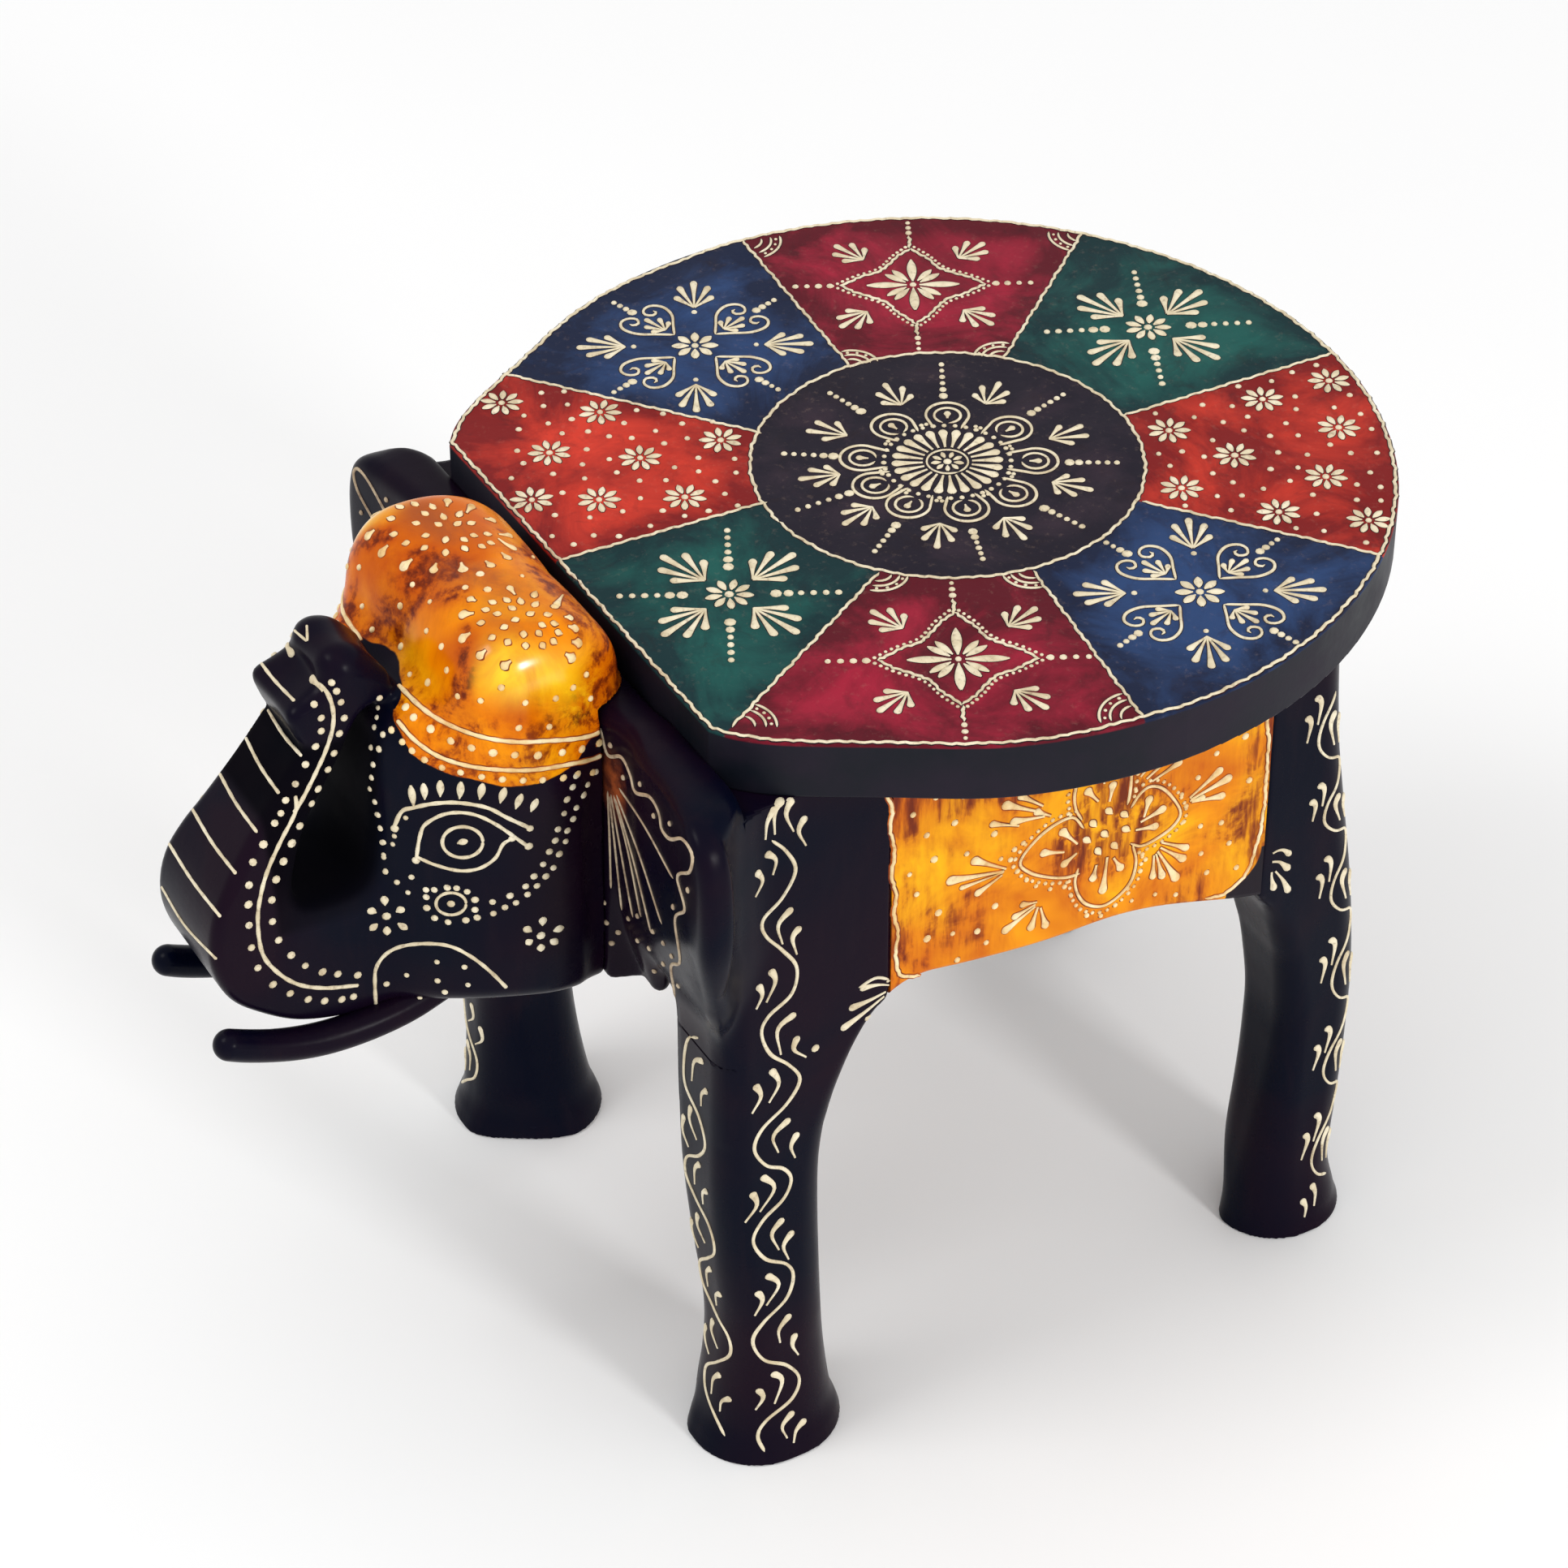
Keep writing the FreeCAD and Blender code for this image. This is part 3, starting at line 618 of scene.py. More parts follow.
class Paint:
    """Collects raised strokes and joins them into one object."""

    def __init__(self, patina=0.0):
        self.v, self.q, self.n = [], [], 0
        self.patina = patina
        self.under = Paint() if patina else None

    def shadow(self, P, N, w):
        """A low bed of settled patina that reaches a little past a stroke on every side."""
        P, N = np.asarray(P, float), np.asarray(N, float)
        T = np.gradient(P, axis=0)
        T /= np.linalg.norm(T, axis=1)[:, None] + 1e-9
        P = np.vstack([P[:1] - T[:1] * self.patina, P, P[-1:] + T[-1:] * self.patina])
        N = np.vstack([N[:1], N, N[-1:]])
        T = np.vstack([T[:1], T, T[-1:]])
        w = np.concatenate([[w[0] * 0.5 + self.patina], w + self.patina * 2, [w[-1] * 0.5 + self.patina]])
        S = np.cross(N, T)
        S /= np.linalg.norm(S, axis=1)[:, None] + 1e-9
        off = np.array([-0.5, -0.42, 0.42, 0.5])
        h = np.tile([-0.12, 0.05, 0.05, -0.12], (len(P), 1))
        h[[0, -1]] = -0.12
        v = (P[:, None, :] + S[:, None, :] * (off[None, :] * w[:, None])[:, :, None]
             + N[:, None, :] * h[:, :, None])
        k = len(P)
        i = np.arange((k - 1) * 4).reshape(k - 1, 4)[:, :-1].ravel()
        self.under.add(v.reshape(-1, 3), np.column_stack([i, i + 4, i + 5, i + 1])[:, ::-1])

    def add(self, v, q):
        self.v.append(v)
        self.q.append(q + self.n)
        self.n += len(v)

    def ribbon(self, P, N, w, h):
        P, N = np.asarray(P, float), np.asarray(N, float)
        if len(P) < 2:
            return
        T = np.gradient(P, axis=0)
        T /= np.linalg.norm(T, axis=1)[:, None] + 1e-9
        S = np.cross(N, T)
        S /= np.linalg.norm(S, axis=1)[:, None] + 1e-9
        off = np.array([-1.0, -0.7, 0.0, 0.7, 1.0]) * 0.5
        up = np.array([0.0, 0.66, 1.0, 0.66, 0.0])
        sink = np.array([-0.16, 0, 0, 0, -0.16])
        v = (P[:, None, :] + S[:, None, :] * (off[None, :] * w[:, None])[:, :, None]
             + N[:, None, :] * (up[None, :] * h[:, None] + sink[None, :])[:, :, None])
        k, m = len(P), 5
        i = np.arange((k - 1) * m).reshape(k - 1, m)[:, :-1].ravel()
        q = np.column_stack([i, i + m, i + m + 1, i + 1])
        self.add(v.reshape(-1, 3), q[:, ::-1])

    def dome(self, c, n, r, h, along=None, stretch=1.0):
        c, n = np.asarray(c, float), np.asarray(n, float)
        a = np.asarray(along, float) if along is not None else np.array([0.31, 0.77, 0.55])
        a = a - n * a.dot(n)
        L = np.linalg.norm(a)
        if L < 1e-6:
            a = np.cross(n, [1.0, 0.2, 0.1])
            L = np.linalg.norm(a)
        a /= L
        b = np.cross(n, a)
        t = np.arange(SEG) * 2 * math.pi / SEG
        rings = [c + r * f * (np.cos(t)[:, None] * a * stretch + np.sin(t)[:, None] * b) + n * (h * z if z > 0 else z)
                 for f, z in DOME]
        v = np.vstack(rings + [rings[-1] * 0.35 + (c + n * h) * 0.65])
        q = []
        for k in range(len(DOME)):
            for j in range(SEG):
                j2 = (j + 1) % SEG
                q.append([k * SEG + j, k * SEG + j2, (k + 1) * SEG + j2, (k + 1) * SEG + j])
        o = len(DOME) * SEG
        q += [[o, o + 1, o + 2, o + 3], [o, o + 3, o + 4, o + 7], [o + 4, o + 5, o + 6, o + 7]]
        self.add(v, np.array(q))

    def finish(self, name, mat_slot, place=None):
        if self.under is not None and self.under.v:
            self.under.finish(name.replace("conework", "patina"), mat_slot, place)
        v = np.vstack(self.v)
        ob = build(name, v if place is None else place(v), np.vstack(self.q))
        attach(ob, "root")
        CONE.append(ob)
        return ob


CONE = []


def dense(pts, step):
    """Smooth path through the points, evenly stepped."""
    p = np.asarray(pts, float)
    if len(p) > 2:
        p = smooth_line(p, n=10)
    s = np.concatenate([[0], np.cumsum(np.linalg.norm(np.diff(p, axis=0), axis=1))])
    k = max(3, int(math.ceil(s[-1] / step)) + 1)
    t = np.linspace(0, s[-1], k)
    return np.column_stack([np.interp(t, s, p[:, i]) for i in range(p.shape[1])])


def wavy(pts, amp=0.42, wave=4.0, smooth=True):
    p = np.asarray(pts, float)
    if smooth and len(p) > 2:
        p = smooth_line(p, n=12)
    s = np.concatenate([[0], np.cumsum(np.linalg.norm(np.diff(p, axis=0), axis=1))])
    k = max(8, int(s[-1] / (wave / 7.0)))
    t = np.linspace(0, s[-1], k)
    q = np.column_stack([np.interp(t, s, p[:, i]) for i in range(p.shape[1])])
    d = np.gradient(q, axis=0)
    d /= np.linalg.norm(d, axis=1)[:, None] + 1e-9
    nrm = np.column_stack([-d[:, 1], d[:, 0]])
    return q + nrm * (amp * np.sin(2 * math.pi * t / wave) + 0.14 * np.sin(2 * math.pi * t / (wave * 2.7) + 1.0)
                      + 0.10 * np.sin(2 * math.pi * t / (wave * 0.61) + 0.4))[:, None]


class Face:
    """Where strokes land.  lift(points) gives places and outward directions."""

    def __init__(self, lift, step):
        self.lift, self.step = lift, step


def flat_face(build_point, normal):
    n = np.array(normal, float)

    def lift(p):
        P = np.array([build_point(a, b) for a, b in p], float)
        return P, np.tile(n, (len(P), 1)), np.ones(len(P), bool)
    return Face(lift, 1.1)


def project(P):
    """Where a point (mm about the seat centre) falls in the 1932 x 1932 view."""
    d = np.atleast_2d(np.asarray(P, float)) - CAM_C
    z = -(d @ CAM_B)
    return np.column_stack([966.0 + CAM_F * (d @ CAM_R) / z, 966.0 - CAM_F * (d @ CAM_U) / z])


class Hull:
    def __init__(self, names):
        vs, qs, n = [], [], 0
        for k in names:
            p, q = SOLIDS[k]
            vs.append(p)
            qs.append(q + n)
            n += len(p)
        self.v, self.q = np.vstack(vs), np.vstack(qs)
        a, b, c, d = (self.v[self.q[:, i]] for i in range(4))
        fn = np.cross(c - a, d - b)
        fn /= np.linalg.norm(fn, axis=1)[:, None] + 1e-12
        vn = np.zeros_like(self.v)
        for i in range(4):
            np.add.at(vn, self.q[:, i], fn)
        vn /= np.linalg.norm(vn, axis=1)[:, None] + 1e-12
        self.fn = fn
        self.sn = vn[self.q].mean(1)
        self.tree = BVHTree.FromPolygons([Vector(x) for x in self.v], [list(map(int, x)) for x in self.q])

    def cast(self, uv):
        return self.trace([(CAM_C, ray(u, v)) for u, v in uv])

    def trace(self, beams):
        P, N, ok = [], [], []
        for o, d in beams:
            hit = self.tree.ray_cast(Vector(o), Vector(d))
            if hit[0] is None:
                P.append([0, 0, 0])
                N.append([0, 0, 1])
                ok.append(False)
                continue
            n = self.sn[hit[2]].copy()
            n /= np.linalg.norm(n) + 1e-9
            if n.dot(-d) < 0 and self.fn[hit[2]].dot(-d) < 0:
                n = -n
            P.append(list(hit[0]))
            N.append(n)
            ok.append(True)
        return np.array(P), np.array(N), np.array(ok)


def view_face(hull, to_px, step):
    """Strokes given in the plane of the view, or in any plane to_px understands."""
    return Face(lambda p: hull.cast(to_px(np.asarray(p, float))), step)


def beam_face(hull, az, step):
    """Strokes thrown level at the surface from one side; points are (across, height)."""
    out = np.array([math.cos(math.radians(az)), math.sin(math.radians(az)), 0.0])
    across = np.array([-out[1], out[0], 0.0])
    return Face(lambda p: hull.trace([(across * a + out * 300.0 + np.array([0, 0, z]), -out) for a, z in p]), step)


def runs(P, N, ok, gap):
    """Pieces of a path that stay on one surface."""
    out, cur = [], []
    for i in range(len(P)):
        if not ok[i] or (cur and np.linalg.norm(P[i] - P[cur[-1]]) > gap):
            if len(cur) > 2:
                out.append(cur)
            cur = []
        if ok[i]:
            cur.append(i)
    if len(cur) > 2:
        out.append(cur)
    res = []
    for c in out:
        n = N[c]
        if len(c) > 4:
            pad = np.vstack([n[:1]] * 2 + [n] + [n[-1:]] * 2)
            n = (pad[:-4] + pad[1:-3] + pad[2:-2] + pad[3:-1] + pad[4:]) / 5.0
        n = n / (np.linalg.norm(n, axis=1)[:, None] + 1e-9)
        res.append((P[c], n))
    return res


def draw(paint, face, strokes, flips=(1,), taper=2.0):
    """strokes: ("line", pts, width), ("drop", pts, width), ("leaf", pts, width), ("dot", point, radius)."""
    for kind, pts, w in strokes:
        if kind == "dot":
            P, N, ok = face.lift([pts])
            if not ok[0]:
                continue
            for s in flips:
                f = np.array([s, 1.0, 1.0])
                if paint.under is not None:
                    a = np.cross(N[0] * f, [0.3, 0.8, 0.5])
                    a /= np.linalg.norm(a)
                    r = w * 0.55
                    paint.shadow([P[0] * f - a * r, P[0] * f, P[0] * f + a * r], [N[0] * f] * 3,
                                 np.array([1.1, 1.9, 1.1]) * w)
                paint.dome(P[0] * f, N[0] * f, w * RNG.uniform(0.92, 1.08), DOT_H * min(1.0, w / 0.9),
                           stretch=RNG.uniform(0.95, 1.1))
            continue
        q = dense(pts, face.step * (1.0 if kind == "line" else 0.5))
        if kind == "leaf":
            q = dense(pts, 1e6 if len(pts) < 3 else face.step)
            q = np.column_stack([np.interp(np.linspace(0, 1, 12), np.linspace(0, 1, len(q)), q[:, i]) for i in (0, 1)])
        if kind == "drop":
            t = 1 - (1 - np.linspace(0, 1, 14)) ** 1.55
            q = np.column_stack([np.interp(t, np.linspace(0, 1, len(q)), q[:, i]) for i in (0, 1)])
        P, N, ok = face.lift(q)
        for Pr, Nr in runs(P, N, ok, 5.0):
            k = len(Pr)
            t = np.linspace(0, 1, k)
            if kind == "drop":
                L = np.concatenate([[0], np.cumsum(np.linalg.norm(np.diff(Pr, axis=0), axis=1))])
                r = min(w / 2, 0.42 * L[-1])
                x = L[-1] - L
                u = np.clip((x - r) / max(L[-1] - r, 1e-6), 0, 1)
                ww = 2 * r * np.where(x < r, np.sqrt(np.clip(1 - (1 - x / r) ** 2, 0.01, 1)),
                                      0.27 + 0.73 * (1 - u) ** taper)
                hh = DOT_H * min(1.0, r / 0.8) * np.where(x < r, 0.35 + 0.65 * np.sqrt(np.clip(1 - (1 - x / r) ** 2, 0, 1)),
                                                          0.5 + 0.5 * (1 - u) ** 1.4)
            elif kind == "leaf":
                b = np.sin(math.pi * np.clip(t ** 1.2, 0.02, 0.98))
                ww = w * b ** 0.62
                hh = DOT_H * (0.4 + 0.6 * b)
            else:
                e = np.minimum(1, np.minimum(np.arange(k), np.arange(k)[::-1]) / 1.6 + 0.25)
                ww = w * e * (1 + 0.10 * np.sin(t * k * 0.37 + w * 3))
                hh = LINE_H * e * min(1.0, w / 0.9)
            for s in flips:
                f = np.array([s, 1.0, 1.0])
                Ps, Ns = Pr * f, Nr * f
                if paint.under is not None:
                    paint.shadow(Ps, Ns, ww)
                paint.ribbon(Ps, Ns, ww, hh)


def direction(a):
    return np.array([math.cos(math.radians(a)), math.sin(math.radians(a))])


def fan(base, ang, lens, spread, w=2.3, bend=0.0):
    """Teardrops opening from one point."""
    out = []
    k = len(lens)
    base = np.asarray(base, float)
    for i, L in enumerate(lens):
        a = ang + spread * (i - (k - 1) / 2.0)
        mid = base + direction(a - bend * (i - (k - 1) / 2.0)) * L * 0.55 + direction(ang) * L * 0.06
        out.append(("drop", [base + direction(ang) * 0.6, mid, base + direction(a) * L + direction(ang) * L * 0.08], w))
    return out


def flower(c, petals, r0, r1, w, turn=0.0, core=1.1):
    c = np.asarray(c, float)
    out = [("dot", c, core)] if core else []
    for i in range(petals):
        d = direction(turn + 360.0 * i / petals)
        out.append(("leaf", [c + d * r0 * 0.9, c + d * r1], w))
    return out


def dot_ray(c, ang, d0, d1, n, r0, r1):
    c = np.asarray(c, float)
    return [("dot", c + direction(ang) * (d0 + (d1 - d0) * (i / (n - 1.0))), r0 + (r1 - r0) * min(1.0, i / 2.0))
            for i in range(n)]


def arc(c, r, a0, a1, n=14):
    c = np.asarray(c, float)
    return [c + direction(a0 + (a1 - a0) * i / n) * r for i in range(n + 1)]


def dotted(pts, gap, r):
    q = dense(pts, gap)
    return [("dot", p, r) for p in q]


# ---- the seat -------------------------------------------------------------
SEAT_C = (1.7, 3.2)
MEDAL_R = 54.2
SPOKES = [((-6.3, -49.2), (-10.3, -110.4)), ((36.9, -39.4), (76.2, -106.0)), ((56.7, -3.3), (125.0, -12.5)),
          ((44.2, 39.2), (96.8, 81.4)), ((6.7, 57.5), (9.6, 125.6)), ((-34.2, 43.3), (-79.6, 98.2)),
          ((-51.7, 3.7), (-125.4, 9.7)), ((-35.8, -34.2), (-97.8, -83.0))]


def seat_strokes():
    S = []
    # outline of the top and of the medallion, and the lines between sectors
    half = [(0.0, -110.6), (CH_X - 0.6, -110.6)]
    side = smooth_line([(74.0, -110.6), (80.4, -105.6), (87.1, -97.9), (92.6, -89.4), (103.5, -71.3),
                        (114.2, -53.1), (122.0, -31.4), (126.0, 0.0)], n=8)
    back = [direction(a) * 126.0 for a in np.linspace(0, 90, 60)[1:]]
    right = np.vstack([side, back])
    ring = np.vstack([[(0.0, -110.6)], right, (right * [-1, 1])[::-1][1:], [(0.0, -110.6)]])
    S.append(("line", wavy(ring, 0.20, 4.4, smooth=False), 1.02))
    S.append(("line", wavy(arc(SEAT_C, MEDAL_R, -88, 272, 90), 0.20, 4.4, smooth=False), 0.98))
    for a, b in SPOKES:
        S.append(("line", wavy([a, b], 0.20, 4.2), 0.95))
    # medallion
    c = np.array(SEAT_C)
    S += flower(c, 9, 2.0, 4.6, 1.5, 10, 1.2)
    S.append(("line", arc(c, 5.7, 0, 360, 30), 0.7))
    for i in range(24):
        d = direction(i * 15 + 4)
        S.append(("drop", [c + d * 6.8, c + d * 11.0, c + d * 15.4], 3.0))
    S += [("dot", c + direction(i * 10 + 2) * 17.5, 0.72) for i in range(36)]
    lobes = [(102, 23.8), (61, 24.4), (19.6, 23.6), (-17.7, 22.8), (-58, 23.4), (-90, 23.2), (-124, 23.6),
             (-169, 22.6), (149, 22.8)]
    for a, d in lobes:
        p = c + direction(a) * d
        S.append(("line", [c + direction(a + 13) * 16.6] + arc(p, 6.0, a + 118, a - 118, 16) + [c + direction(a - 13) * 16.6], 0.95))
        S.append(("line", arc(p - direction(a) * 0.3, 3.7, a + 160, a - 175, 16), 0.85))
        S.append(("drop", [p - direction(a) * 1.9, p, p + direction(a) * 1.6], 2.3))
        S += [("dot", c + direction(a + k) * 18.9, 0.66) for k in (18, 22.5)]
    for a, d in ((81.5, 36.0), (41, 35.7), (-1, 36.0), (-35, 35.0), (-73.7, 35.6), (-108, 35.8), (-144.5, 35.8),
                 (174, 35.9), (128.5, 36.0)):
        S += fan(c + direction(a) * (d - 6.2), a, [6.0, 9.0, 11.4, 9.0, 6.0] if (a + 200) % 2 < 1.2 else [7.4, 11.0, 11.4, 7.4], 27, 2.2)
    for a, d0, d1 in ((105, 33.6, 46.6), (59.6, 33.5, 46.5), (19.5, 34, 47), (-19.3, 33.6, 46.4), (-55.6, 33.4, 46.8),
                      (-90.6, 31, 47), (-124.6, 31.4, 45), (-166, 34, 46.4), (151, 32.2, 48)):
        S += dot_ray(c, a, d0, d1, 6, 1.45, 0.85)
    # green sectors
    for g, turn in (((25.8, -78.7), 17.0), ((-27.5, 87.5), 20.0)):
        g = np.array(g)
        S += flower(g, 9, 2.2, 6.6, 2.4, turn, 1.3)
        for k in range(4):
            a = turn + 90 * k
            S += fan(g + direction(a) * 8.4, a, [9.2, 13.2, 15.8, 13.2, 9.2], 22, 2.7)
            S += dot_ray(g, a + 45, 12.4, 29.0, 6, 1.7, 0.95)
    # maroon sectors
    for g, out in (((80.3, -40.8), -28.0), ((-80.0, 40.8), 152.0)):
        g = np.array(g)
        tips = [(out, 19.5), (out + 90, 21.0), (out + 180, 20.5), (out + 270, 21.0)]
        pt = [g + direction(a) * d for a, d in tips]
        edge = []
        for k in range(4):
            a, b = pt[k], pt[(k + 1) % 4]
            m = g + ((a + b) / 2 - g) * 0.83
            edge.append(smooth_line([a, a * .5 + m * .5 + (m - g) * 0.04, m, b * .5 + m * .5 + (m - g) * 0.04, b], n=6))
        for e in edge:
            S.append(("line", wavy(e, 0.25, 3.0, smooth=False), 0.95))
            o = g + (e - g) * 1.11
            S += dotted(o, 2.0, 0.55)
        S.append(("dot", g, 1.0))
        for k in range(4):
            a = out + 90 * k
            S.append(("leaf", [g + direction(a) * 1.8, g + direction(a) * 13.4], 3.1))
            for t in (-13, 13):
                S.append(("leaf", [g + direction(a + 45 + t) * 2.4, g + direction(a + 45 + t * 0.7) * 9.6], 2.4))
        for k in (0, 2):
            a = out + 90 * k
            S.append(("line", wavy([g + direction(a) * 19.8, g + direction(a) * 26.5], 0.3, 2.6), 1.2))
            S += dot_ray(g, a, 28.0, 33.5, 3, 0.95, 0.7)
        for k in (1, 3):
            S += dot_ray(g, out + 90 * k, 24.0, 34.0, 4, 1.15, 0.85)
        for k in range(4):
            a = out + 45 + 90 * k
            S += fan(g + direction(a) * 19.0, a, [6.4, 9.4, 11.2, 9.4, 6.4], 25, 2.3)
    # corner scallops of the maroon sectors
    for p, a0, a1, rr in (((-34.8, 43.0), 232, 132, (3.4, 5.6, 7.8)), ((-52.3, 4.2), 78, 172, (3.4, 5.6, 7.8)),
                          ((-79.0, 97.6), 308, 232, (4.0, 6.8, 9.6)), ((-124.6, 10.4), 2, 76, (4.6, 7.4, 10.2)),
                          ((56.4, -3.8), 256, 352, (3.4, 5.6, 7.8)), ((37.4, -39.6), 52, -48, (3.4, 5.6, 7.8)),
                          ((124.0, -13.2), 172, 256, (4.6, 7.4, 10.2)), ((76.6, -104.6), 58, 124, (4.6, 7.4, 10.2))):
        for r in rr:
            S.append(("line", arc(p, r, a0, a1, 10), 0.85))
        for k in range(4):
            a = a0 + (a1 - a0) * (k + 0.5) / 4.0
            S.append(("dot", np.array(p) + direction(a) * (rr[1] + rr[2]) / 2, 0.5))
    # blue sectors
    for g, out in (((86.7, 30.0), 17.0), ((-83.3, -29.2), 197.0)):
        g = np.array(g)
        S += flower(g, 8, 2.0, 6.6, 2.7, out, 1.2)
        for k in range(4):
            a = out + 90 * k
            e, f = direction(a), direction(a + 90)
            for s in (1, -1):
                lobe = [(8.2, 0.0), (11.8, 3.2), (16.0, 6.9), (20.6, 8.0), (23.6, 6.2), (23.8, 3.4), (21.8, 1.7),
                        (19.8, 2.8), (20.0, 4.6), (21.4, 4.8)]
                S.append(("line", [g + e * x + f * y * s for x, y in lobe], 0.95))
            S += fan(g + e * 11.2, a, [4.4, 6.4, 8.2, 6.4, 4.4], 28, 1.9)
            S += dot_ray(g, a, 25.2, 32.5, 4, 1.35, 0.85)
            a += 45
            S += fan(g + direction(a) * 19.2, a, [8.0, 11.6, 13.4, 11.6, 8.0], 22, 2.4)
            S.append(("dot", g + direction(a) * 17.4, 0.8))
    # red sectors
    reds = [[(-38.3, -45.8), (-67.0, -68.3), (-41.7, -69.2), (-19.2, -67.5), (-84.7, -90.0), (-56.3, -89.7),
             (-29.7, -88.3), (-38.7, -104.2)],
            [(20.8, 116.7), (41.3, 105.8), (19.2, 95.3), (59.2, 89.2), (82.0, 87.5), (38.3, 73.3), (19.2, 64.2),
             (66.7, 68.7), (44.2, 52.0)]]
    for fl, (i, j) in zip(reds, ((7, 0), (3, 4))):
        for n, p in enumerate(fl):
            S += flower(p, 9, 1.9, 6.0, 2.1, 17.0 * n, 1.0)
        got = []
        (a0, a1), (b0, b1) = SPOKES[i], SPOKES[j]
        for _ in range(1400):
            r = RNG.uniform(58.0, 121.0)
            t0 = math.degrees(math.atan2(a1[1] - SEAT_C[1], a1[0] - SEAT_C[0]))
            t1 = math.degrees(math.atan2(b1[1] - SEAT_C[1], b1[0] - SEAT_C[0]))
            if t1 < t0:
                t1 += 360.0
            t = RNG.uniform(t0, t1)
            p = c + direction(t) * r
            if p[1] < -107.4 or np.hypot(*p) > 122.6 or abs(math.sin(math.radians(t - t0))) * r < 2.8 \
                    or abs(math.sin(math.radians(t1 - t))) * r < 2.8:
                continue
            if min(np.hypot(*(p - np.array(q))) for q in fl) < 8.4:
                continue
            if p[0] < -74 and (p[1] + 111.6) * 0.577 < (-(p[0] + 74)) * 1.0:
                continue
            if got and min(np.hypot(*(p - q)) for q in got) < 6.3:
                continue
            got.append(p)
        S += [("dot", p, 0.86) for p in got]
    return S


CH_X = 74.0
top_face = flat_face(lambda a, b: (a, b, 254.0), (0, 0, 1))
pt = Paint(0.26)
draw(pt, top_face, seat_strokes())
pt.finish("seat_conework", "painted_seat")


# ---- the flanks and the rump ------------------------------------------------
def panel_strokes(y0, y1, low, z_top, cy, cz):
    """Border, big four-petalled flower, sprays and dots of an orange panel."""
    S = []
    L = [(y0 + 1.2, z_top), (y0 + 1.2, low(y0 + 1.2) + 1.2)]
    S.append(("line", wavy(dense(L, 2.0), 0.5, 5.0, smooth=False), 1.3))
    S.append(("line", wavy([(y, low(y) + 1.2) for y in np.linspace(y0 + 1.2, y1 - 1.2, 30)], 0.3, 4.6, smooth=False), 1.1))
    R = [(y1 - 1.2, low(y1 - 1.2) + 1.2), (y1 - 1.2, z_top)]
    S.append(("line", wavy(dense(R, 2.0), 0.5, 5.0, smooth=False), 1.3))
    c = np.array([cy, cz])
    for k, (a, d, wd) in enumerate(((2, 26.0, 10.5), (92, 24.0, 9.6), (178, 27.0, 10.5), (272, 25.0, 9.6))):
        e, f = direction(a), direction(a + 90)
        prof = [(4.6, 0.0), (7.0, wd * 0.62), (11.5, wd), (17.0, wd * 0.93), (22.0, wd * 0.56), (d, 0.0)]
        for s in (1, -1):
            line = [c + e * x + f * y * s for x, y in prof]
            S.append(("line", line, 1.0))
            S += dotted([c + e * (x + 0.5) + f * (y + (1.9 if 0 < i < 5 else 0.4)) * s
                         for i, (x, y) in enumerate(prof)][1:], 2.3, 0.62)
        for da, r0, r1, w in ((0, 9.5, 19.5, 2.5), (22, 9.0, 16.0, 2.3), (-22, 9.0, 16.0, 2.3)):
            S.append(("drop", [c + direction(a + da) * r0, c + direction(a + da) * (r0 + r1) / 2,
                               c + direction(a + da) * r1], w))
        S.append(("dot", c + e * 6.6, 1.15))
    for k in range(4):
        S.append(("drop", [c + direction(45 + 90 * k) * 1.0, c + direction(45 + 90 * k) * 3.0,
                           c + direction(45 + 90 * k) * 5.2], 2.3))
        S.append(("dot", c + direction(45 + 90 * k) * 8.0, 0.9))
    return S, c


def scatter(lo2, hi2, n, gap, keep):
    got = []
    for _ in range(4000):
        p = np.array([RNG.uniform(lo2[0], hi2[0]), RNG.uniform(lo2[1], hi2[1])])
        if not keep(p) or (got and min(np.hypot(*(p - q)) for q in got) < gap):
            continue
        got.append(p)
        if len(got) >= n:
            break
    return got


flank_low = table1([-66.0, -62.4, -57.5, -48.0, -30.0, -14.0, 4.0, 19.3, 32.0, 44.0, 54.5],
                   [156.8, 158.6, 159.6, 158.6, 156.0, 154.6, 154.2, 151.8, 148.2, 144.4, 141.6])


def fl(x, y):
    return (-70.0 + x / 13.0, 240.0 - y / 13.0)


def seeds(S, items):
    """Teardrops: head, tail, width."""
    for h, t, w in items:
        a, b = np.array(fl(*h)), np.array(fl(*t))
        d = (a - b) / (np.hypot(*(a - b)) + 1e-9)
        S.append(("drop", [b, (a + b) / 2, a + d * w * 0.5], w * 1.12))


S = [("line", wavy([fl(*q) for q in ((20, 100), (30, 180), (46, 240), (42, 330), (60, 450), (46, 530), (68, 620),
                                    (60, 700), (76, 800), (70, 900), (80, 980), (110, 1015), (170, 1040))], 0.12, 4.0), 1.15),
     ("line", wavy([fl(*q) for q in ((1582, 110), (1590, 300), (1592, 460), (1604, 560), (1604, 680), (1606, 800),
                                     (1600, 920), (1588, 1000), (1568, 1080), (1538, 1150), (1490, 1180), (1440, 1196),
                                     (1370, 1186))], 0.12, 4.0), 1.1)]
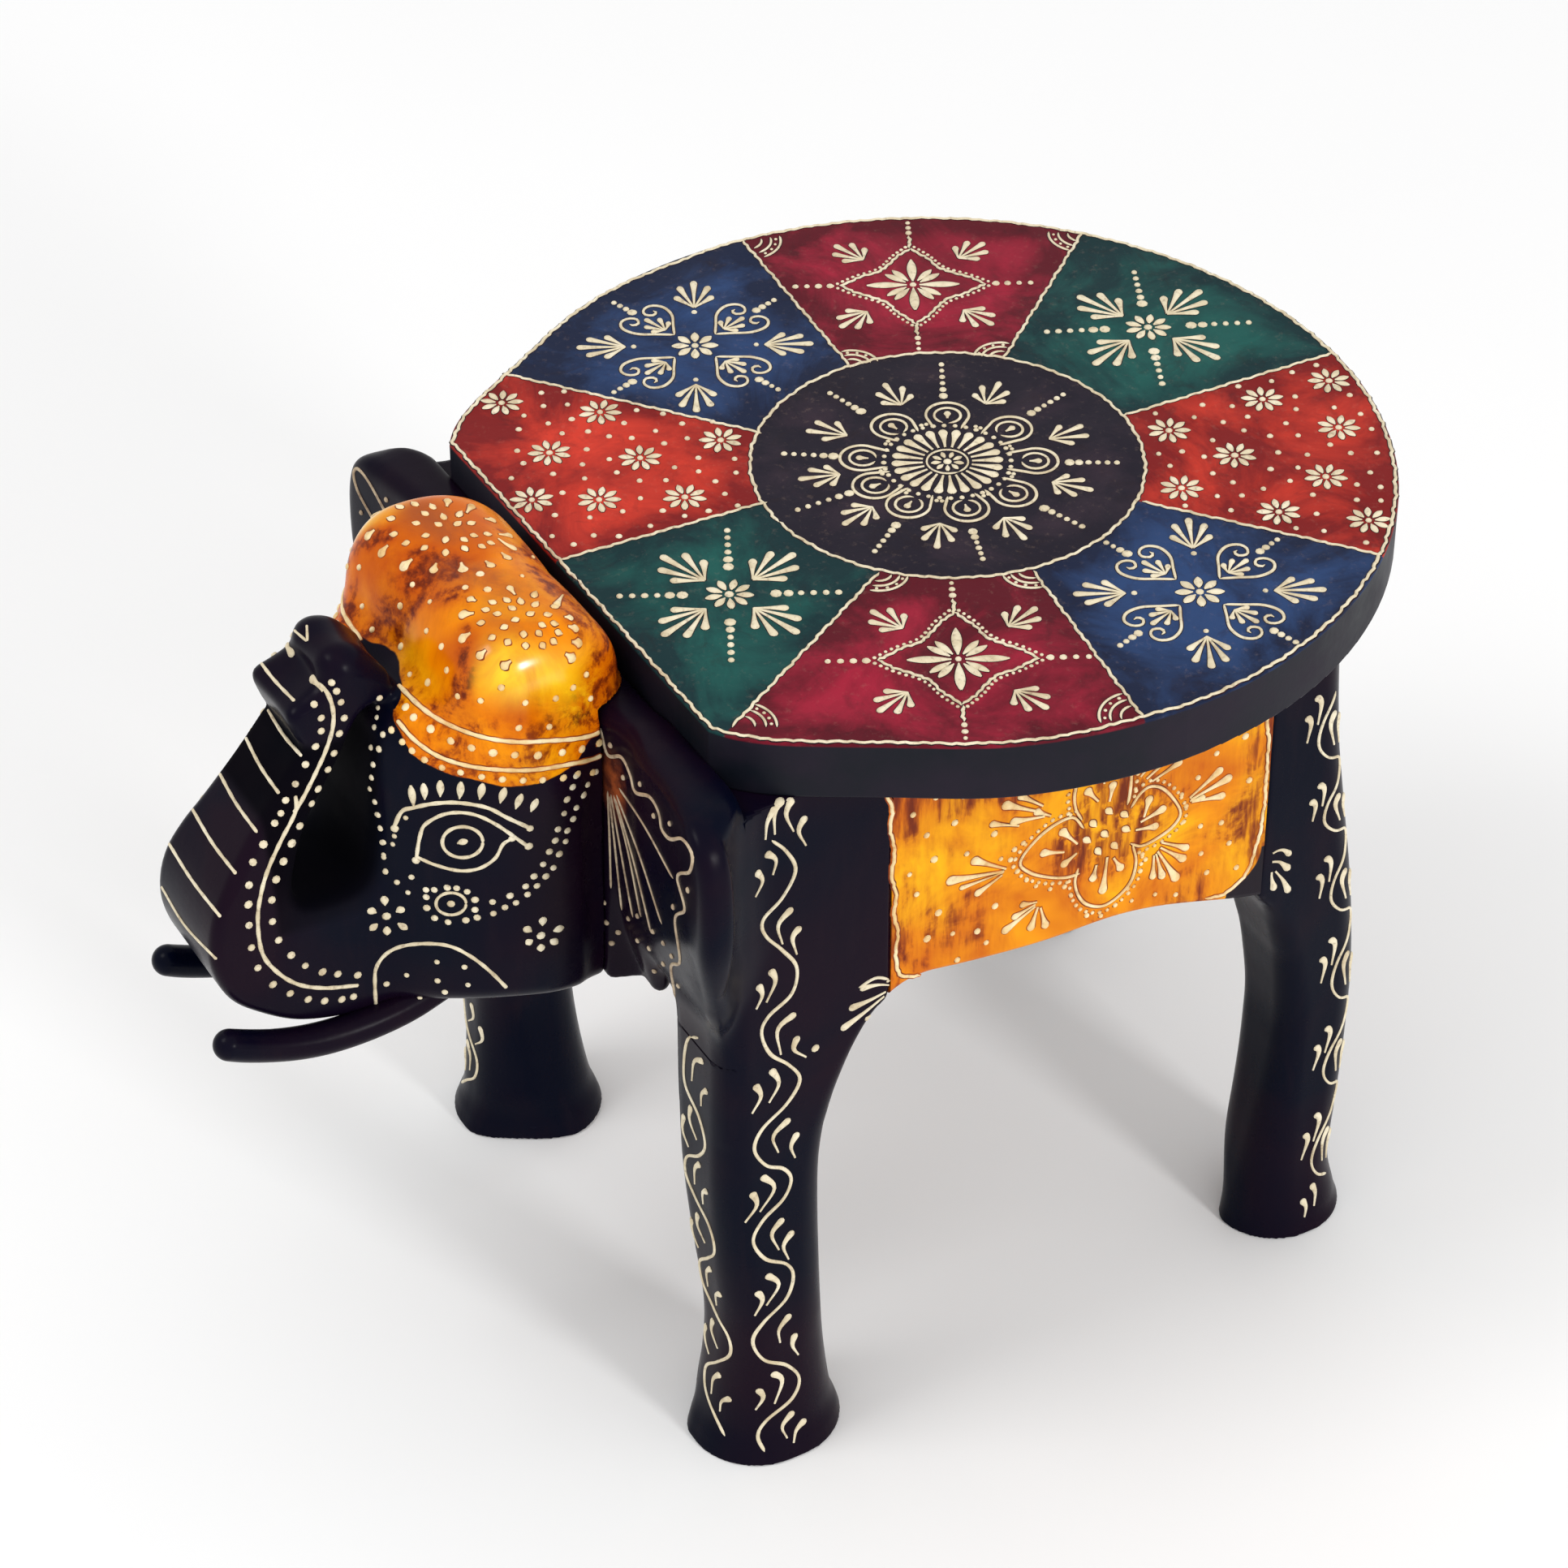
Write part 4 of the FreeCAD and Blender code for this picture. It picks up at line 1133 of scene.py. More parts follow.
# left, lower, right and upper petals, each with a second line of dots outside
petals = [((830, 640), (782, 572), (700, 578), (622, 622), (570, 690), (612, 752), (682, 800), (760, 835), (822, 842)),
          ((815, 815), (803, 870), (820, 940), (860, 1000), (930, 1034), (1000, 1010), (1046, 960), (1060, 880), (1042, 800)),
          ((1026, 626), (1058, 580), (1100, 560), (1152, 586), (1202, 650), (1240, 732), (1212, 782), (1150, 810),
           (1080, 820), (1032, 790)),
          ((822, 600), (794, 540), (786, 470), (806, 400), (860, 340), (908, 300), (960, 344), (1004, 400), (1020, 470),
           (1018, 560), (1010, 606))]
mid = np.array([925.0, 690.0])
for q in petals:
    S.append(("line", [fl(*p) for p in q], 0.95))
    o = [np.array(p) for p in q]
    c = sum(o) / len(o)
    S += dotted([fl(*(p + (p - c) / np.hypot(*(p - c)) * 27)) for p in o[1:-1]], 2.5, 0.62)
seeds(S, [((744, 622), (806, 700), 2.7), ((668, 686), (752, 716), 2.6), ((756, 770), (806, 742), 2.6),
          ((880, 885), (892, 830), 2.6), ((924, 958), (936, 812), 2.8), ((994, 884), (962, 826), 2.5),
          ((1102, 618), (1084, 690), 2.6), ((1160, 686), (1070, 708), 2.7), ((1132, 752), (1050, 736), 2.5),
          ((842, 480), (886, 540), 2.6), ((945, 492), (934, 560), 2.5), ((905, 410), (908, 470), 2.6)])
for p, a in (((870, 635), 55), ((846, 700), 45), ((920, 702), 50), ((1000, 645), 48), ((1010, 716), 40), ((896, 770), 60),
             ((964, 772), 55), ((934, 604), 50)):
    d = np.array([math.cos(math.radians(a)), math.sin(math.radians(a))]) * 15
    S.append(("leaf", [fl(*(np.array(p) + d * 1.5)), fl(*(np.array(p) - d * 1.5))], 2.3))
# sprays
seeds(S, [((384, 606), (512, 694), 2.7), ((288, 656), (504, 702), 3.0), ((400, 757), (498, 716), 2.3),
          ((332, 706), (500, 706), 1.4)])
seeds(S, [((520, 976), (640, 918), 2.7), ((626, 1006), (652, 924), 2.6), ((686, 1022), (662, 930), 2.4),
          ((556, 930), (640, 908), 2.1), ((588, 888), (646, 900), 2.0)])
seeds(S, [((1136, 982), (1136, 884), 2.2), ((1176, 996), (1144, 880), 2.4), ((1236, 1030), (1150, 872), 2.8),
          ((1262, 952), (1160, 860), 2.5), ((1272, 906), (1164, 838), 2.3)])
seeds(S, [((1396, 606), (1276, 680), 2.7), ((1436, 656), (1280, 690), 2.9), ((1414, 726), (1284, 702), 2.5),
          ((1330, 700), (1276, 694), 1.9)])
seeds(S, [((540, 494), (664, 520), 2.6), ((634, 488), (690, 528), 2.3), ((506, 408), (634, 486), 3.0),
          ((566, 392), (656, 470), 2.4), ((452, 470), (560, 520), 2.0)])
seeds(S, [((1140, 420), (1060, 500), 2.5), ((1196, 450), (1086, 520), 2.5), ((1220, 500), (1110, 540), 2.3),
          ((1100, 380), (1046, 470), 2.3)])
S += [("dot", fl(*p), r) for p, r in (
    ((545, 620), .85), ((580, 605), .8), ((530, 660), .8), ((560, 724), .8), ((600, 780), .75), ((640, 824), .7),
    ((700, 862), .75), ((760, 876), .8), ((790, 930), .7), ((1085, 860), .75), ((1100, 890), .75), ((1080, 935), .8),
    ((860, 1050), .8), ((920, 1076), .8), ((980, 1052), .75), ((1030, 996), .75), ((1256, 780), .75), ((1262, 712), .8),
    ((1240, 650), .8), ((1306, 600), .9), ((186, 412), .9), ((298, 402), 1.1), ((218, 532), 1.15), ((460, 516), 1.1),
    ((240, 780), 1.1), ((196, 880), 1.15), ((402, 932), 1.0), ((472, 846), 1.0), ((322, 1030), 1.0), ((440, 1000), .8),
    ((1530, 700), 1.0), ((1500, 490), 1.1), ((1420, 850), .9), ((1370, 1060), .9), ((1240, 1110), .8), ((1460, 960), .9),
    ((1340, 960), .8), ((1330, 830), .8), ((150, 660), .8), ((130, 300), .9), ((420, 330), .9), ((330, 300), .8),
    ((220, 260), .9), ((1300, 420), .9), ((1400, 400), .9), ((1480, 360), .9), ((1380, 520), .8), ((1280, 300), .9),
    ((700, 320), .9), ((600, 280), .9), ((760, 240), .8), ((1100, 260), .9), ((490, 640), .7), ((350, 560), .8),
    ((1050, 1060), .7), ((1150, 1072), .7), ((1500, 1090), .9), ((300, 900), .8), ((120, 560), .7))]


def clear_of_flower(p, c):
    d = p - c
    a = math.degrees(math.atan2(d[1], d[0]))
    near = min(abs((a - b + 180) % 360 - 180) for b in (2, 92, 178, 272))
    return np.hypot(*d) > (29.5 if near < 32 else 14.0)


x_face = flat_face(lambda a, b: (90.5, a, b), (1, 0, 0))
for flip, nm in ((1, "left"), (-1, "right")):
    pt = Paint(0.40)
    draw(pt, x_face, S, flips=(flip,), taper=3.0)
    pt.finish(nm + "_flank_conework", "orange_lacquer")

rump_low = table1([-61.0, -40.0, 0.0, 40.0, 61.0], [150.0, 160.0, 164.0, 160.0, 150.0])
S, c1 = panel_strokes(-61.0, 61.0, rump_low, 235.6, 0.0, 194.0)
for base, a, lens in (((30.0, 194.5), 4, [10, 13, 10]), ((-30.5, 194.5), 176, [10, 13, 10]),
                      ((17.0, 209.5), 42, [9, 12, 14, 12, 9]), ((-17.0, 209.5), 138, [9, 12, 14, 12, 9]),
                      ((18.0, 180.0), -40, [8, 11, 13, 11, 8]), ((-18.0, 180.0), 220, [8, 11, 13, 11, 8])):
    S += fan(base, a, lens, 24 if len(lens) == 3 else 21, 2.4)
for p in scatter((-57, 154), (57, 232), 56, 6.4,
                 lambda p: p[1] > rump_low(p[0]) + 5 and clear_of_flower(p, c1)
                 and min(np.hypot(*(p - np.array(b))) for b in ((40, 194.5), (-40, 194.5), (25, 217), (-25, 217),
                                                               (26, 172), (-26, 172))) > 10.5):
    S.append(("dot", p, RNG.uniform(0.75, 1.1)))
y_face = flat_face(lambda a, b: (a, 74.0, b), (0, 1, 0))
pt = Paint(0.40)
draw(pt, y_face, S)
pt.finish("rump_conework", "orange_lacquer")

# ---- the legs and ears ------------------------------------------------------
body_hull = Hull(["front_board_carved", "front_left_leg_carved", "rear_left_leg_carved"])
side_px = lambda p: project(np.column_stack([np.full(len(p), 90.5), p[:, 0], p[:, 1]]))
front_px = lambda p: project(np.column_stack([p[:, 0], np.full(len(p), -118.0), p[:, 1]]))
ear_px = lambda p: project(np.column_stack([p[:, 0], np.full(len(p), -126.0), p[:, 1]]))
side_face = view_face(body_hull, side_px, 1.1)
front_face = beam_face(body_hull, -90.0, 1.1)
ear_face = view_face(body_hull, ear_px, 1.1)


def side_pt(u, v):
    return (u / 6.5 - 124.0, 240.0 - v / 6.5)


def vine(turns, leaf_gap=0.0):
    return [("line", turns, 1.15)]


S = []
wave = [side_pt(*p) for p in ((140, 95), (168, 130), (186, 178), (160, 228), (122, 262), (128, 300), (160, 345),
                              (188, 395), (178, 450), (132, 482), (118, 515), (135, 570), (172, 612), (194, 655),
                              (168, 700), (118, 738), (102, 780), (125, 828), (160, 852), (176, 885), (160, 925),
                              (118, 958), (98, 1000), (122, 1055), (165, 1088), (180, 1125), (165, 1175),
                              (118, 1212), (95, 1250), (118, 1308), (165, 1345), (192, 1392), (176, 1438),
                              (122, 1468), (104, 1500), (118, 1548))]
S.append(("line", wave, 1.15))
for pts in (((128, 118), (148, 140), (142, 170)), ((110, 150), (122, 175), (108, 205)),
            ((206, 68), (192, 95), (206, 132)), ((180, 20), (168, 50), (182, 92)),
            ((148, 26), (132, 52), (128, 88)), ((160, 12), (146, 40), (146, 84)),
            ((180, 258), (152, 285), (160, 330)), ((196, 306), (180, 325), (188, 365)),
            ((136, 378), (146, 408), (128, 448)), ((112, 402), (120, 428), (108, 455)),
            ((186, 498), (150, 520), (156, 580)), ((190, 552), (182, 580), (206, 608)),
            ((136, 606), (152, 645), (132, 682)), ((104, 628), (116, 660), (98, 692)),
            ((174, 738), (140, 765), (150, 808)), ((190, 778), (176, 805), (184, 836)),
            ((116, 850), (142, 890), (112, 934)), ((96, 880), (106, 915), (82, 946)),
            ((160, 972), (136, 1000), (150, 1045)), ((180, 1012), (160, 1040), (170, 1078)),
            ((124, 1096), (150, 1132), (124, 1172)), ((104, 1128), (116, 1156), (100, 1186)),
            ((174, 1218), (150, 1246), (152, 1280)), ((184, 1272), (178, 1300), (190, 1330)),
            ((134, 1350), (156, 1380), (140, 1432)), ((104, 1376), (116, 1405), (100, 1428)),
            ((180, 1472), (156, 1500), (166, 1536)), ((206, 1506), (186, 1525), (180, 1556))):
    q = [side_pt(*p) for p in pts]
    S.append(("drop", q[::-1], 2.5))
S.append(("dot", side_pt(225, 596), 1.2))
for p in ((276, 576), (292, 535), (325, 575), (314, 498), (368, 503)):
    S.append(("drop", [side_pt(388, 522), side_pt((388 + p[0]) / 2, (522 + p[1]) / 2 + (3 if p[1] > 520 else -6)), side_pt(*p)],
              2.6 if p[1] > 520 else 2.1))
S.append(("line", [side_pt(312, 494), side_pt(345, 486), side_pt(372, 500)], 1.0))
# rear leg: spray in the corner and the vine down the outer rear edge
pt = Paint()
draw(pt, side_face, S, flips=(1, -1))
S = [("drop", [(1568.0, 1051.5), (1575.0, 1047.8), (1582.0, 1047.6), (1590.0, 1053.0)], 2.2),
     ("drop", [(1567.0, 1062.0), (1572.5, 1061.6), (1578.0, 1062.8), (1588.5, 1071.0)], 2.6),
     ("drop", [(1571.0, 1073.0), (1576.0, 1078.6), (1581.5, 1085.6), (1588.0, 1099.0)], 2.5),
     ("drop", [(1567.0, 1074.0), (1566.6, 1079.0), (1567.4, 1085.0), (1570.0, 1096.5)], 2.5)]
draw(pt, view_face(body_hull, lambda q: np.asarray(q, float), 1.0), S, flips=(1, -1))
CORNER = 34.0
turn = np.array([-math.sin(math.radians(CORNER)), math.cos(math.radians(CORNER))])
edge_s = lambda z: (turn[0] * (r_out(z) - r_rad(z) * (1 - math.cos(math.radians(CORNER))))
                    + turn[1] * (r_back(z) - r_rad(z) * (1 - math.sin(math.radians(CORNER)))) - 2.4)
zr = [side_pt(u, v)[1] for u, v in ((1308, 386), (1336, 565), (1372, 778), (1386, 1018), (1384, 1236),
                                    (1384, 1462))]
zr = [zr[0] + 33.0] + zr
path, S = [], []
for hi_z, lo_z in zip(zr[:-1], zr[1:]):
    gap = hi_z - lo_z
    at = lambda a, f: (edge_s(lo_z + gap * f) + a, lo_z + gap * f)
    path += [at(1.6, 0.76), at(-2.6, 0.52), at(-4.2, 0.28), at(-1.8, 0.10), at(3.2, 0.0)]
    for h, m, t in (((-5.0, 0.80), (-3.4, 0.72), (-4.4, 0.50)), ((-7.6, 0.62), (-6.2, 0.54), (-7.4, 0.34)),
                    ((1.4, 0.56), (-0.6, 0.44), (0.6, 0.20)), ((5.0, 0.46), (3.2, 0.36), (3.8, 0.16))):
        S.append(("drop", [at(*t), at(*m), at(*h)], 2.5))
low = zr[-1]
for a, b, c in (((-4.2, 1.0), (-3.4, -2.6), (-4.6, -7.0)), ((-7.8, -3.0), (-7.0, -6.0), (-8.0, -9.4))):
    S.append(("drop", [(edge_s(low) + q[0], max(low + q[1], 3.0)) for q in (c, b, a)], 2.5))
S.append(("line", path, 0.95))
draw(pt, beam_face(body_hull, CORNER, 1.1), S, flips=(1, -1))
# front faces of the front legs
S = []
S.append(("line", [(76, 153), (70, 148), (67.6, 138), (68.6, 130), (76, 124.6), (79.4, 117), (75.6, 110), (68.6, 104),
                   (67.4, 97), (72.6, 91.6), (80.0, 86.4), (81.4, 78), (76.6, 71.4), (70.8, 65), (71.0, 57.6),
                   (77.0, 51.8), (83.0, 46.2), (83.6, 38.4), (78.4, 31.6), (73.0, 25.6), (73.6, 18.6), (79.0, 13.2),
                   (84.4, 7.6)], 1.05))
for q in ([(78.4, 146.4), (73.4, 142.6), (72.0, 134.6)], [(80.6, 137.6), (77.6, 134.2), (77.2, 129.6)],
          [(71.4, 125.0), (70.6, 119.4), (74.6, 115.0)], [(67.4, 118.6), (66.4, 112.6), (69.8, 108.6)],
          [(76.2, 107.4), (73.2, 103.4), (72.6, 97.0)], [(80.0, 100.2), (77.2, 97.4), (77.0, 93.0)],
          [(73.0, 86.0), (72.2, 80.8), (76.0, 76.8)], [(68.6, 80.2), (67.6, 75.0), (71.4, 71.0)],
          [(78.0, 68.4), (74.8, 64.2), (74.6, 58.4)], [(82.2, 61.6), (79.2, 58.8), (79.0, 54.6)],
          [(76.2, 46.6), (75.2, 41.4), (78.8, 37.2)], [(71.6, 40.4), (70.6, 35.4), (74.2, 31.2)],
          [(80.4, 28.4), (77.4, 24.4), (77.2, 18.6)], [(84.4, 21.6), (81.6, 18.8), (81.4, 15.0)]):
    S.append(("drop", q[::-1], 2.2))
draw(pt, front_face, S, flips=(1, -1))
# ears: scalloped line, a fan of lines and dots
S = [("line", [(41.6, 238.1), (45.3, 231.8), (53.2, 236.3), (58.0, 233.7), (60.5, 229.8), (68.6, 233.8), (73.4, 232.0),
               (74.9, 227.5), (79.3, 227.4), (86.0, 232.1), (91.1, 230.6), (89.6, 223.9), (82.9, 217.5), (86.6, 209.3),
               (81.1, 202.0), (83.3, 189.2), (78.2, 183.5), (80.1, 173.0), (76.4, 166.0), (78.2, 158.0)], 1.1)]
for p in ((44.6, 186.0), (50.6, 182.8), (57.0, 185.0), (61.7, 188.6), (67.4, 187.0), (73.5, 194.6), (80.4, 215.0)):
    m = (44.4 * 0.5 + p[0] * 0.5 + (1.6 if p[0] > 60 else 0.3), 226.0 * 0.46 + p[1] * 0.54 + (2.0 if p[0] > 60 else 0))
    q = dense([(44.4, 226.0), m, p], 1.0)
    S.append(("line", q[int(len(q) * 0.18):], 0.72))
pt2 = Paint()
draw(pt2, ear_face, S, flips=(1, -1))
ear_crop = lambda p: np.column_stack([690.0 + p[:, 0] / 3.136, 840.0 + p[:, 1] / 3.136])
S = [("dot", p, 0.85) for p in ((195, 245), (245, 370), (310, 395), (363, 518), (425, 548), (495, 805), (438, 870),
                                (360, 965), (265, 915), (225, 968), (172, 853), (138, 882), (345, 1030), (432, 1060),
                                (365, 1118), (458, 1175), (180, 930), (200, 1010), (300, 905), (300, 1000), (400, 1010),
                                (400, 1090))]
draw(pt2, view_face(body_hull, ear_crop, 3.4), S, flips=(1, -1))
pt2.finish("ear_conework", "black_lacquer")
pt.finish("leg_conework", "black_lacquer", lean)

# ---- the head -----------------------------------------------------------------
head_hull = Hull(["head_carved"])
A = lambda p: np.column_stack([150.0 + p[:, 0] / 2.0, 520.0 + p[:, 1] / 2.0])
J = lambda p: np.column_stack([180.0 + p[:, 0] / 3.015, 1000.0 + p[:, 1] / 3.015])
K = lambda p: np.column_stack([390.0 + p[:, 0] / 3.733, 590.0 + p[:, 1] / 3.733])
U = lambda p: np.asarray(p, float)
head_paint, cap_paint = Paint(), Paint(0.35)
both, once = (1, -1), (1,)

# jaw and trunk side
S = [("line", [(555, -60), (555, 0), (500, 110), (455, 210), (428, 300), (415, 400), (430, 520), (480, 590), (560, 640),
               (660, 655), (790, 645)], 1.3)]
S += [("dot", p, 1.15) for p in ((478, 43), (436, 122), (397, 188), (382, 273), (380, 345), (382, 422), (391, 505),
                                 (415, 580), (471, 642), (535, 675), (602, 697), (663, 703), (727, 697), (770, 687),
                                 (571, 53), (541, 118), (510, 185), (483, 252), (467, 328), (469, 408), (492, 477),
                                 (539, 533), (591, 572), (655, 595), (712, 603), (786, 607))]
for c, ps in (((893, 388), ((885, 323), (951, 362), (960, 430), (895, 448), (840, 433), (832, 367))),
              ((1467, 460), ((1475, 400), (1540, 433), (1521, 485), (1467, 510), (1418, 487), (1411, 435)))):
    S.append(("dot", c, 1.2))
    for p in ps:
        d = np.array(p, float) - c
        S.append(("leaf", [np.array(c) + d * 0.62, np.array(c) + d * 1.16], 2.5))
ringc = np.array([1133.0, 342.0])
S.append(("line", [ringc + [56 * math.cos(t), 41 * math.sin(t)] for t in np.linspace(0, 2 * math.pi, 22)], 0.95))
S.append(("dot", ringc, 1.15))
S += [("dot", p, 1.0) for p in ((1040, 290), (1071, 290), (1119, 282), (1154, 284), (1193, 297), (1222, 327),
                                 (1222, 364), (1230, 393), (1188, 403), (1122, 410), (1072, 395), (1043, 357),
                                 (1041, 317))]
S += [("dot", p, 1.0) for p in ((1287, 335), (1352, 312), (1290, 378), (1333, 355), (1374, 338), (1410, 277),
                                 (1441, 240), (1417, 307), (1452, 275), (1485, 240), (1475, 195), (1513, 208),
                                 (1498, 148), (1535, 157), (1520, 107), (1558, 110), (1530, 65), (1565, 70))]
S.append(("line", [(855, 740), (850, 640), (855, 580), (890, 530), (950, 500), (1040, 490), (1130, 500), (1210, 540),
                   (1280, 595), (1340, 655)], 1.2))
S += [("dot", p, 0.85) for p in ((968, 607), (893, 640), (915, 703), (1017, 690), (1012, 728), (1081, 558), (1083, 628),
                                 (1110, 670), (1183, 577), (1196, 643), (1133, 700))]
S += [("dot", p, 0.8) for p in ((858, 10), (870, 60), (883, 113), (883, 160), (890, 220), (932, 262), (973, 300),
                                (986, 243))]
draw(head_paint, view_face(head_hull, J, 3.3), S, both)
# trunk: upper part of the line, its dots, the tip, and the stripes across the front
S = [("line", [(387, 839), (402, 852), (410, 873), (410, 896), (402, 923), (390, 950), (374, 982), (362, 1002)], 1.35),
     ("drop", [(398, 852), (390, 842), (383, 834)], 3.0)]
S += [("dot", p, 1.05) for p in ((408.6, 841), (414.7, 851.6), (420, 865), (424, 884.5), (418, 903.7), (411.6, 928),
                                 (404, 948), (392, 972), (384, 990), (387, 867.7), (395.6, 884.5), (395.6, 900.6),
                                 (388.7, 919.7), (376.4, 942), (364, 966), (352, 986), (346, 1002))]
draw(head_paint, view_face(head_hull, U, 1.0), S, both)
S = []
for a, b in (((330, 874), (372, 932)), ((301, 905), (344, 978)), ((267, 946), (317, 1026)), ((236, 995), (291, 1077)),
             ((205, 1034), (272, 1130))):
    m = ((a[0] + b[0]) / 2 - 1.5, (a[1] + b[1]) / 2 + 3.0)
    S.append(("line", [a, m, b], 1.05))
S += [("line", [(199, 1092), (228, 1140), (267, 1182)], 0.9), ("line", [(318, 812), (338, 838), (363, 864)], 1.0),
      ("line", [(350, 763), (362, 776), (378, 790)], 0.8), ("line", [(378, 770), (379, 790)], 0.8)]
draw(head_paint, view_face(head_hull, U, 1.0), S, once)
# eye, brows and lashes
S = [("line", [(725, 1080), (735, 1020), (750, 990), (800, 965), (860, 965), (920, 990), (1000, 1045)], 1.15),
     ("line", [(725, 1070), (770, 1090), (830, 1105), (880, 1100), (920, 1075), (940, 1040), (965, 1025)], 1.1),
     ("line", [(670, 1000), (690, 960), (720, 950), (770, 940), (830, 938), (900, 950), (950, 975), (1005, 1000)], 1.3)]
eye = np.array([840.0, 1035.0])
S.append(("line", [eye + [50 * math.cos(t), 38 * math.sin(t)] for t in np.linspace(0, 2 * math.pi, 24)], 1.1))
S.append(("leaf", [eye + [-13, 3], eye + [13, -4]], 2.2))
S += [("dot", p, 1.15) for p in ((725, 1080), (1003, 1045), (1006, 1001), (962, 1026), (672, 1002))]
S += [("dot", p, 0.8) for p in ((672, 1020), (668, 1040), (676, 1000), (700, 975))]
for p, L in (((715, 915), 50), ((745, 905), 38), ((785, 898), 38), ((835, 902), 40), ((887, 905), 38), ((940, 915), 38),
             ((980, 930), 38), ((1018, 940), 34)):
    a = math.radians(100 - (p[0] - 700) * 0.12)
    S.append(("leaf", [(p[0] - math.cos(a) * L * 0.62, p[1] + math.sin(a) * L * 0.66),
                       (p[0] + math.cos(a) * L * 0.42, p[1] - math.sin(a) * L * 0.42)], 2.3))
draw(head_paint, view_face(head_hull, A, 2.2), S, both)
# dotted lines down the front of the face
S = [("dot", p, r) for p, r in (((467.5, 860), 1.0), ((466, 872), 0.8), ((464.5, 884), 0.8), ((461.5, 896), 0.9),
                                ((472, 905), 0.95), ((457.5, 921), 0.9), ((467, 923), 0.95), ((460, 942), 0.85),
                                ((458, 958), 0.85), ((456, 972), 0.8), ((462, 988), 0.8), ((466, 1004), 0.85),
                                ((469, 1021), 0.85), ((471, 1038), 0.85), ((473, 1056), 0.85), ((475, 1074), 0.9))]
S += [("dot", (560 + a / 3.333, 840 + b / 3.333), 0.95) for a, b in (
    (450, 540), (487, 563), (462, 483), (500, 517), (485, 432), (530, 465), (500, 385), (546, 422), (580, 370))]
draw(head_paint, view_face(head_hull, U, 1.0), S, both)
head_paint.finish("head_conework", "black_lacquer")

# hems of the cap
S = [("line", [(375, 945), (470, 1040), (560, 1105), (680, 1160), (800, 1195), (930, 1210), (1060, 1205), (1195, 1195),
               (1290, 1170), (1370, 1110)], 1.35),
     ("line", [(370, 1110), (450, 1200), (560, 1275), (700, 1320), (850, 1338), (1000, 1338), (1150, 1315), (1280, 1285),
               (1370, 1235)], 1.35)]
S += [("dot", p, 1.15) for p in ((410, 1050), (447, 1097), (525, 1150), (618, 1205), (713, 1237), (812, 1260),
                                 (912, 1270), (1018, 1272), (1130, 1258), (1220, 1243), (1300, 1215))]
S += [("dot", p, 1.0) for p in ((345, 1155), (395, 1210), (440, 1250), (497, 1292), (578, 1328), (663, 1350), (760, 1370),
                                (855, 1382), (950, 1387), (1040, 1385), (1135, 1375), (1200, 1358), (1270, 1350),
                                (1340, 1318), (1385, 1268))]
draw(cap_paint, view_face(head_hull, K, 4.1), S, both)


def cz(x, y):
    return (430.0 + x / 6.0, 600.0 + y / 6.0)


def grains(items, mid, w):
    """Short seeds that point away from the middle of a rosette."""
    w = w * 1.15
    out = []
    m = np.array(mid, float)
    for x, y in items:
        d = np.array([x, y]) - m
        d = d / (np.hypot(*d) + 1e-6) * np.array([27.0, 23.0])
        out.append(("leaf", [cz(x + d[0] * 1.3, y + d[1] * 1.3), cz(x - d[0], y - d[1])], w * 0.72))
    return out


near = grains([(1100, 940), (1210, 900), (1232, 982), (1338, 940), (1465, 945), (1425, 1020), (1402, 1080), (1290, 1088),
               (1150, 1036), (1520, 886), (1370, 800), (1270, 850), (1170, 840), (1065, 855), (1015, 910), (980, 1005),
               (1515, 1010), (1545, 1075), (1510, 1140), (1430, 1170), (1305, 1172), (1175, 1146), (1060, 1112),
               (1375, 872)], (1300, 960), 2.5)
near += [("drop", [cz(*a), cz(*b), cz(*c)], w) for a, b, c, w in (
    ((925, 934), (880, 940), (812, 946), 3.2), ((900, 1080), (862, 1104), (812, 1140), 3.6),
    ((1012, 1205), (985, 1230), (946, 1268), 3.7), ((1196, 1286), (1170, 1306), (1126, 1344), 3.5),
    ((1598, 1232), (1628, 1252), (1670, 1282), 3.6), ((1645, 1145), (1680, 1150), (1722, 1158), 3.0),
    ((1618, 1030), (1650, 1040), (1696, 1054), 2.7), ((1590, 962), (1620, 966), (1656, 972), 2.4),
    ((940, 845), (910, 834), (876, 824), 2.4), ((1230, 800), (1205, 770), (1180, 735), 2.3),
    ((1580, 800), (1560, 830), (1530, 880), 2.2))]
far = grains([(315, 235), (335, 350), (425, 415), (500, 270), (565, 200), (570, 360), (560, 450), (665, 280), (700, 225),
              (715, 390), (715, 485), (800, 275), (850, 390), (855, 455), (920, 360), (900, 270), (815, 205), (980, 440),
              (1020, 350), (1045, 415), (490, 130), (380, 150), (620, 150)], (740, 320), 2.5)
far += [("drop", [cz(*a), cz(*b), cz(*c)], w) for a, b, c, w in (
    ((190, 318), (160, 345), (118, 384), 3.2), ((290, 432), (262, 460), (222, 518), 3.6),
    ((468, 534), (430, 566), (378, 612), 3.7), ((646, 566), (634, 592), (618, 640), 3.7),
    ((830, 562), (838, 590), (850, 632), 3.2), ((1010, 550), (1036, 570), (1068, 596), 2.7),
    ((1128, 488), (1154, 510), (1190, 540), 2.7), ((1104, 384), (1160, 425), (1240, 468), 2.6),
    ((1104, 350), (1140, 356), (1200, 362), 2.5), ((1000, 235), (1030, 242), (1080, 250), 2.7),
    ((866, 196), (888, 166), (915, 136), 2.6), ((722, 150), (728, 120), (732, 92), 2.6))]
draw(cap_paint, view_face(head_hull, U, 0.8), near, once)
draw(cap_paint, view_face(head_hull, U, 0.8), far, once)
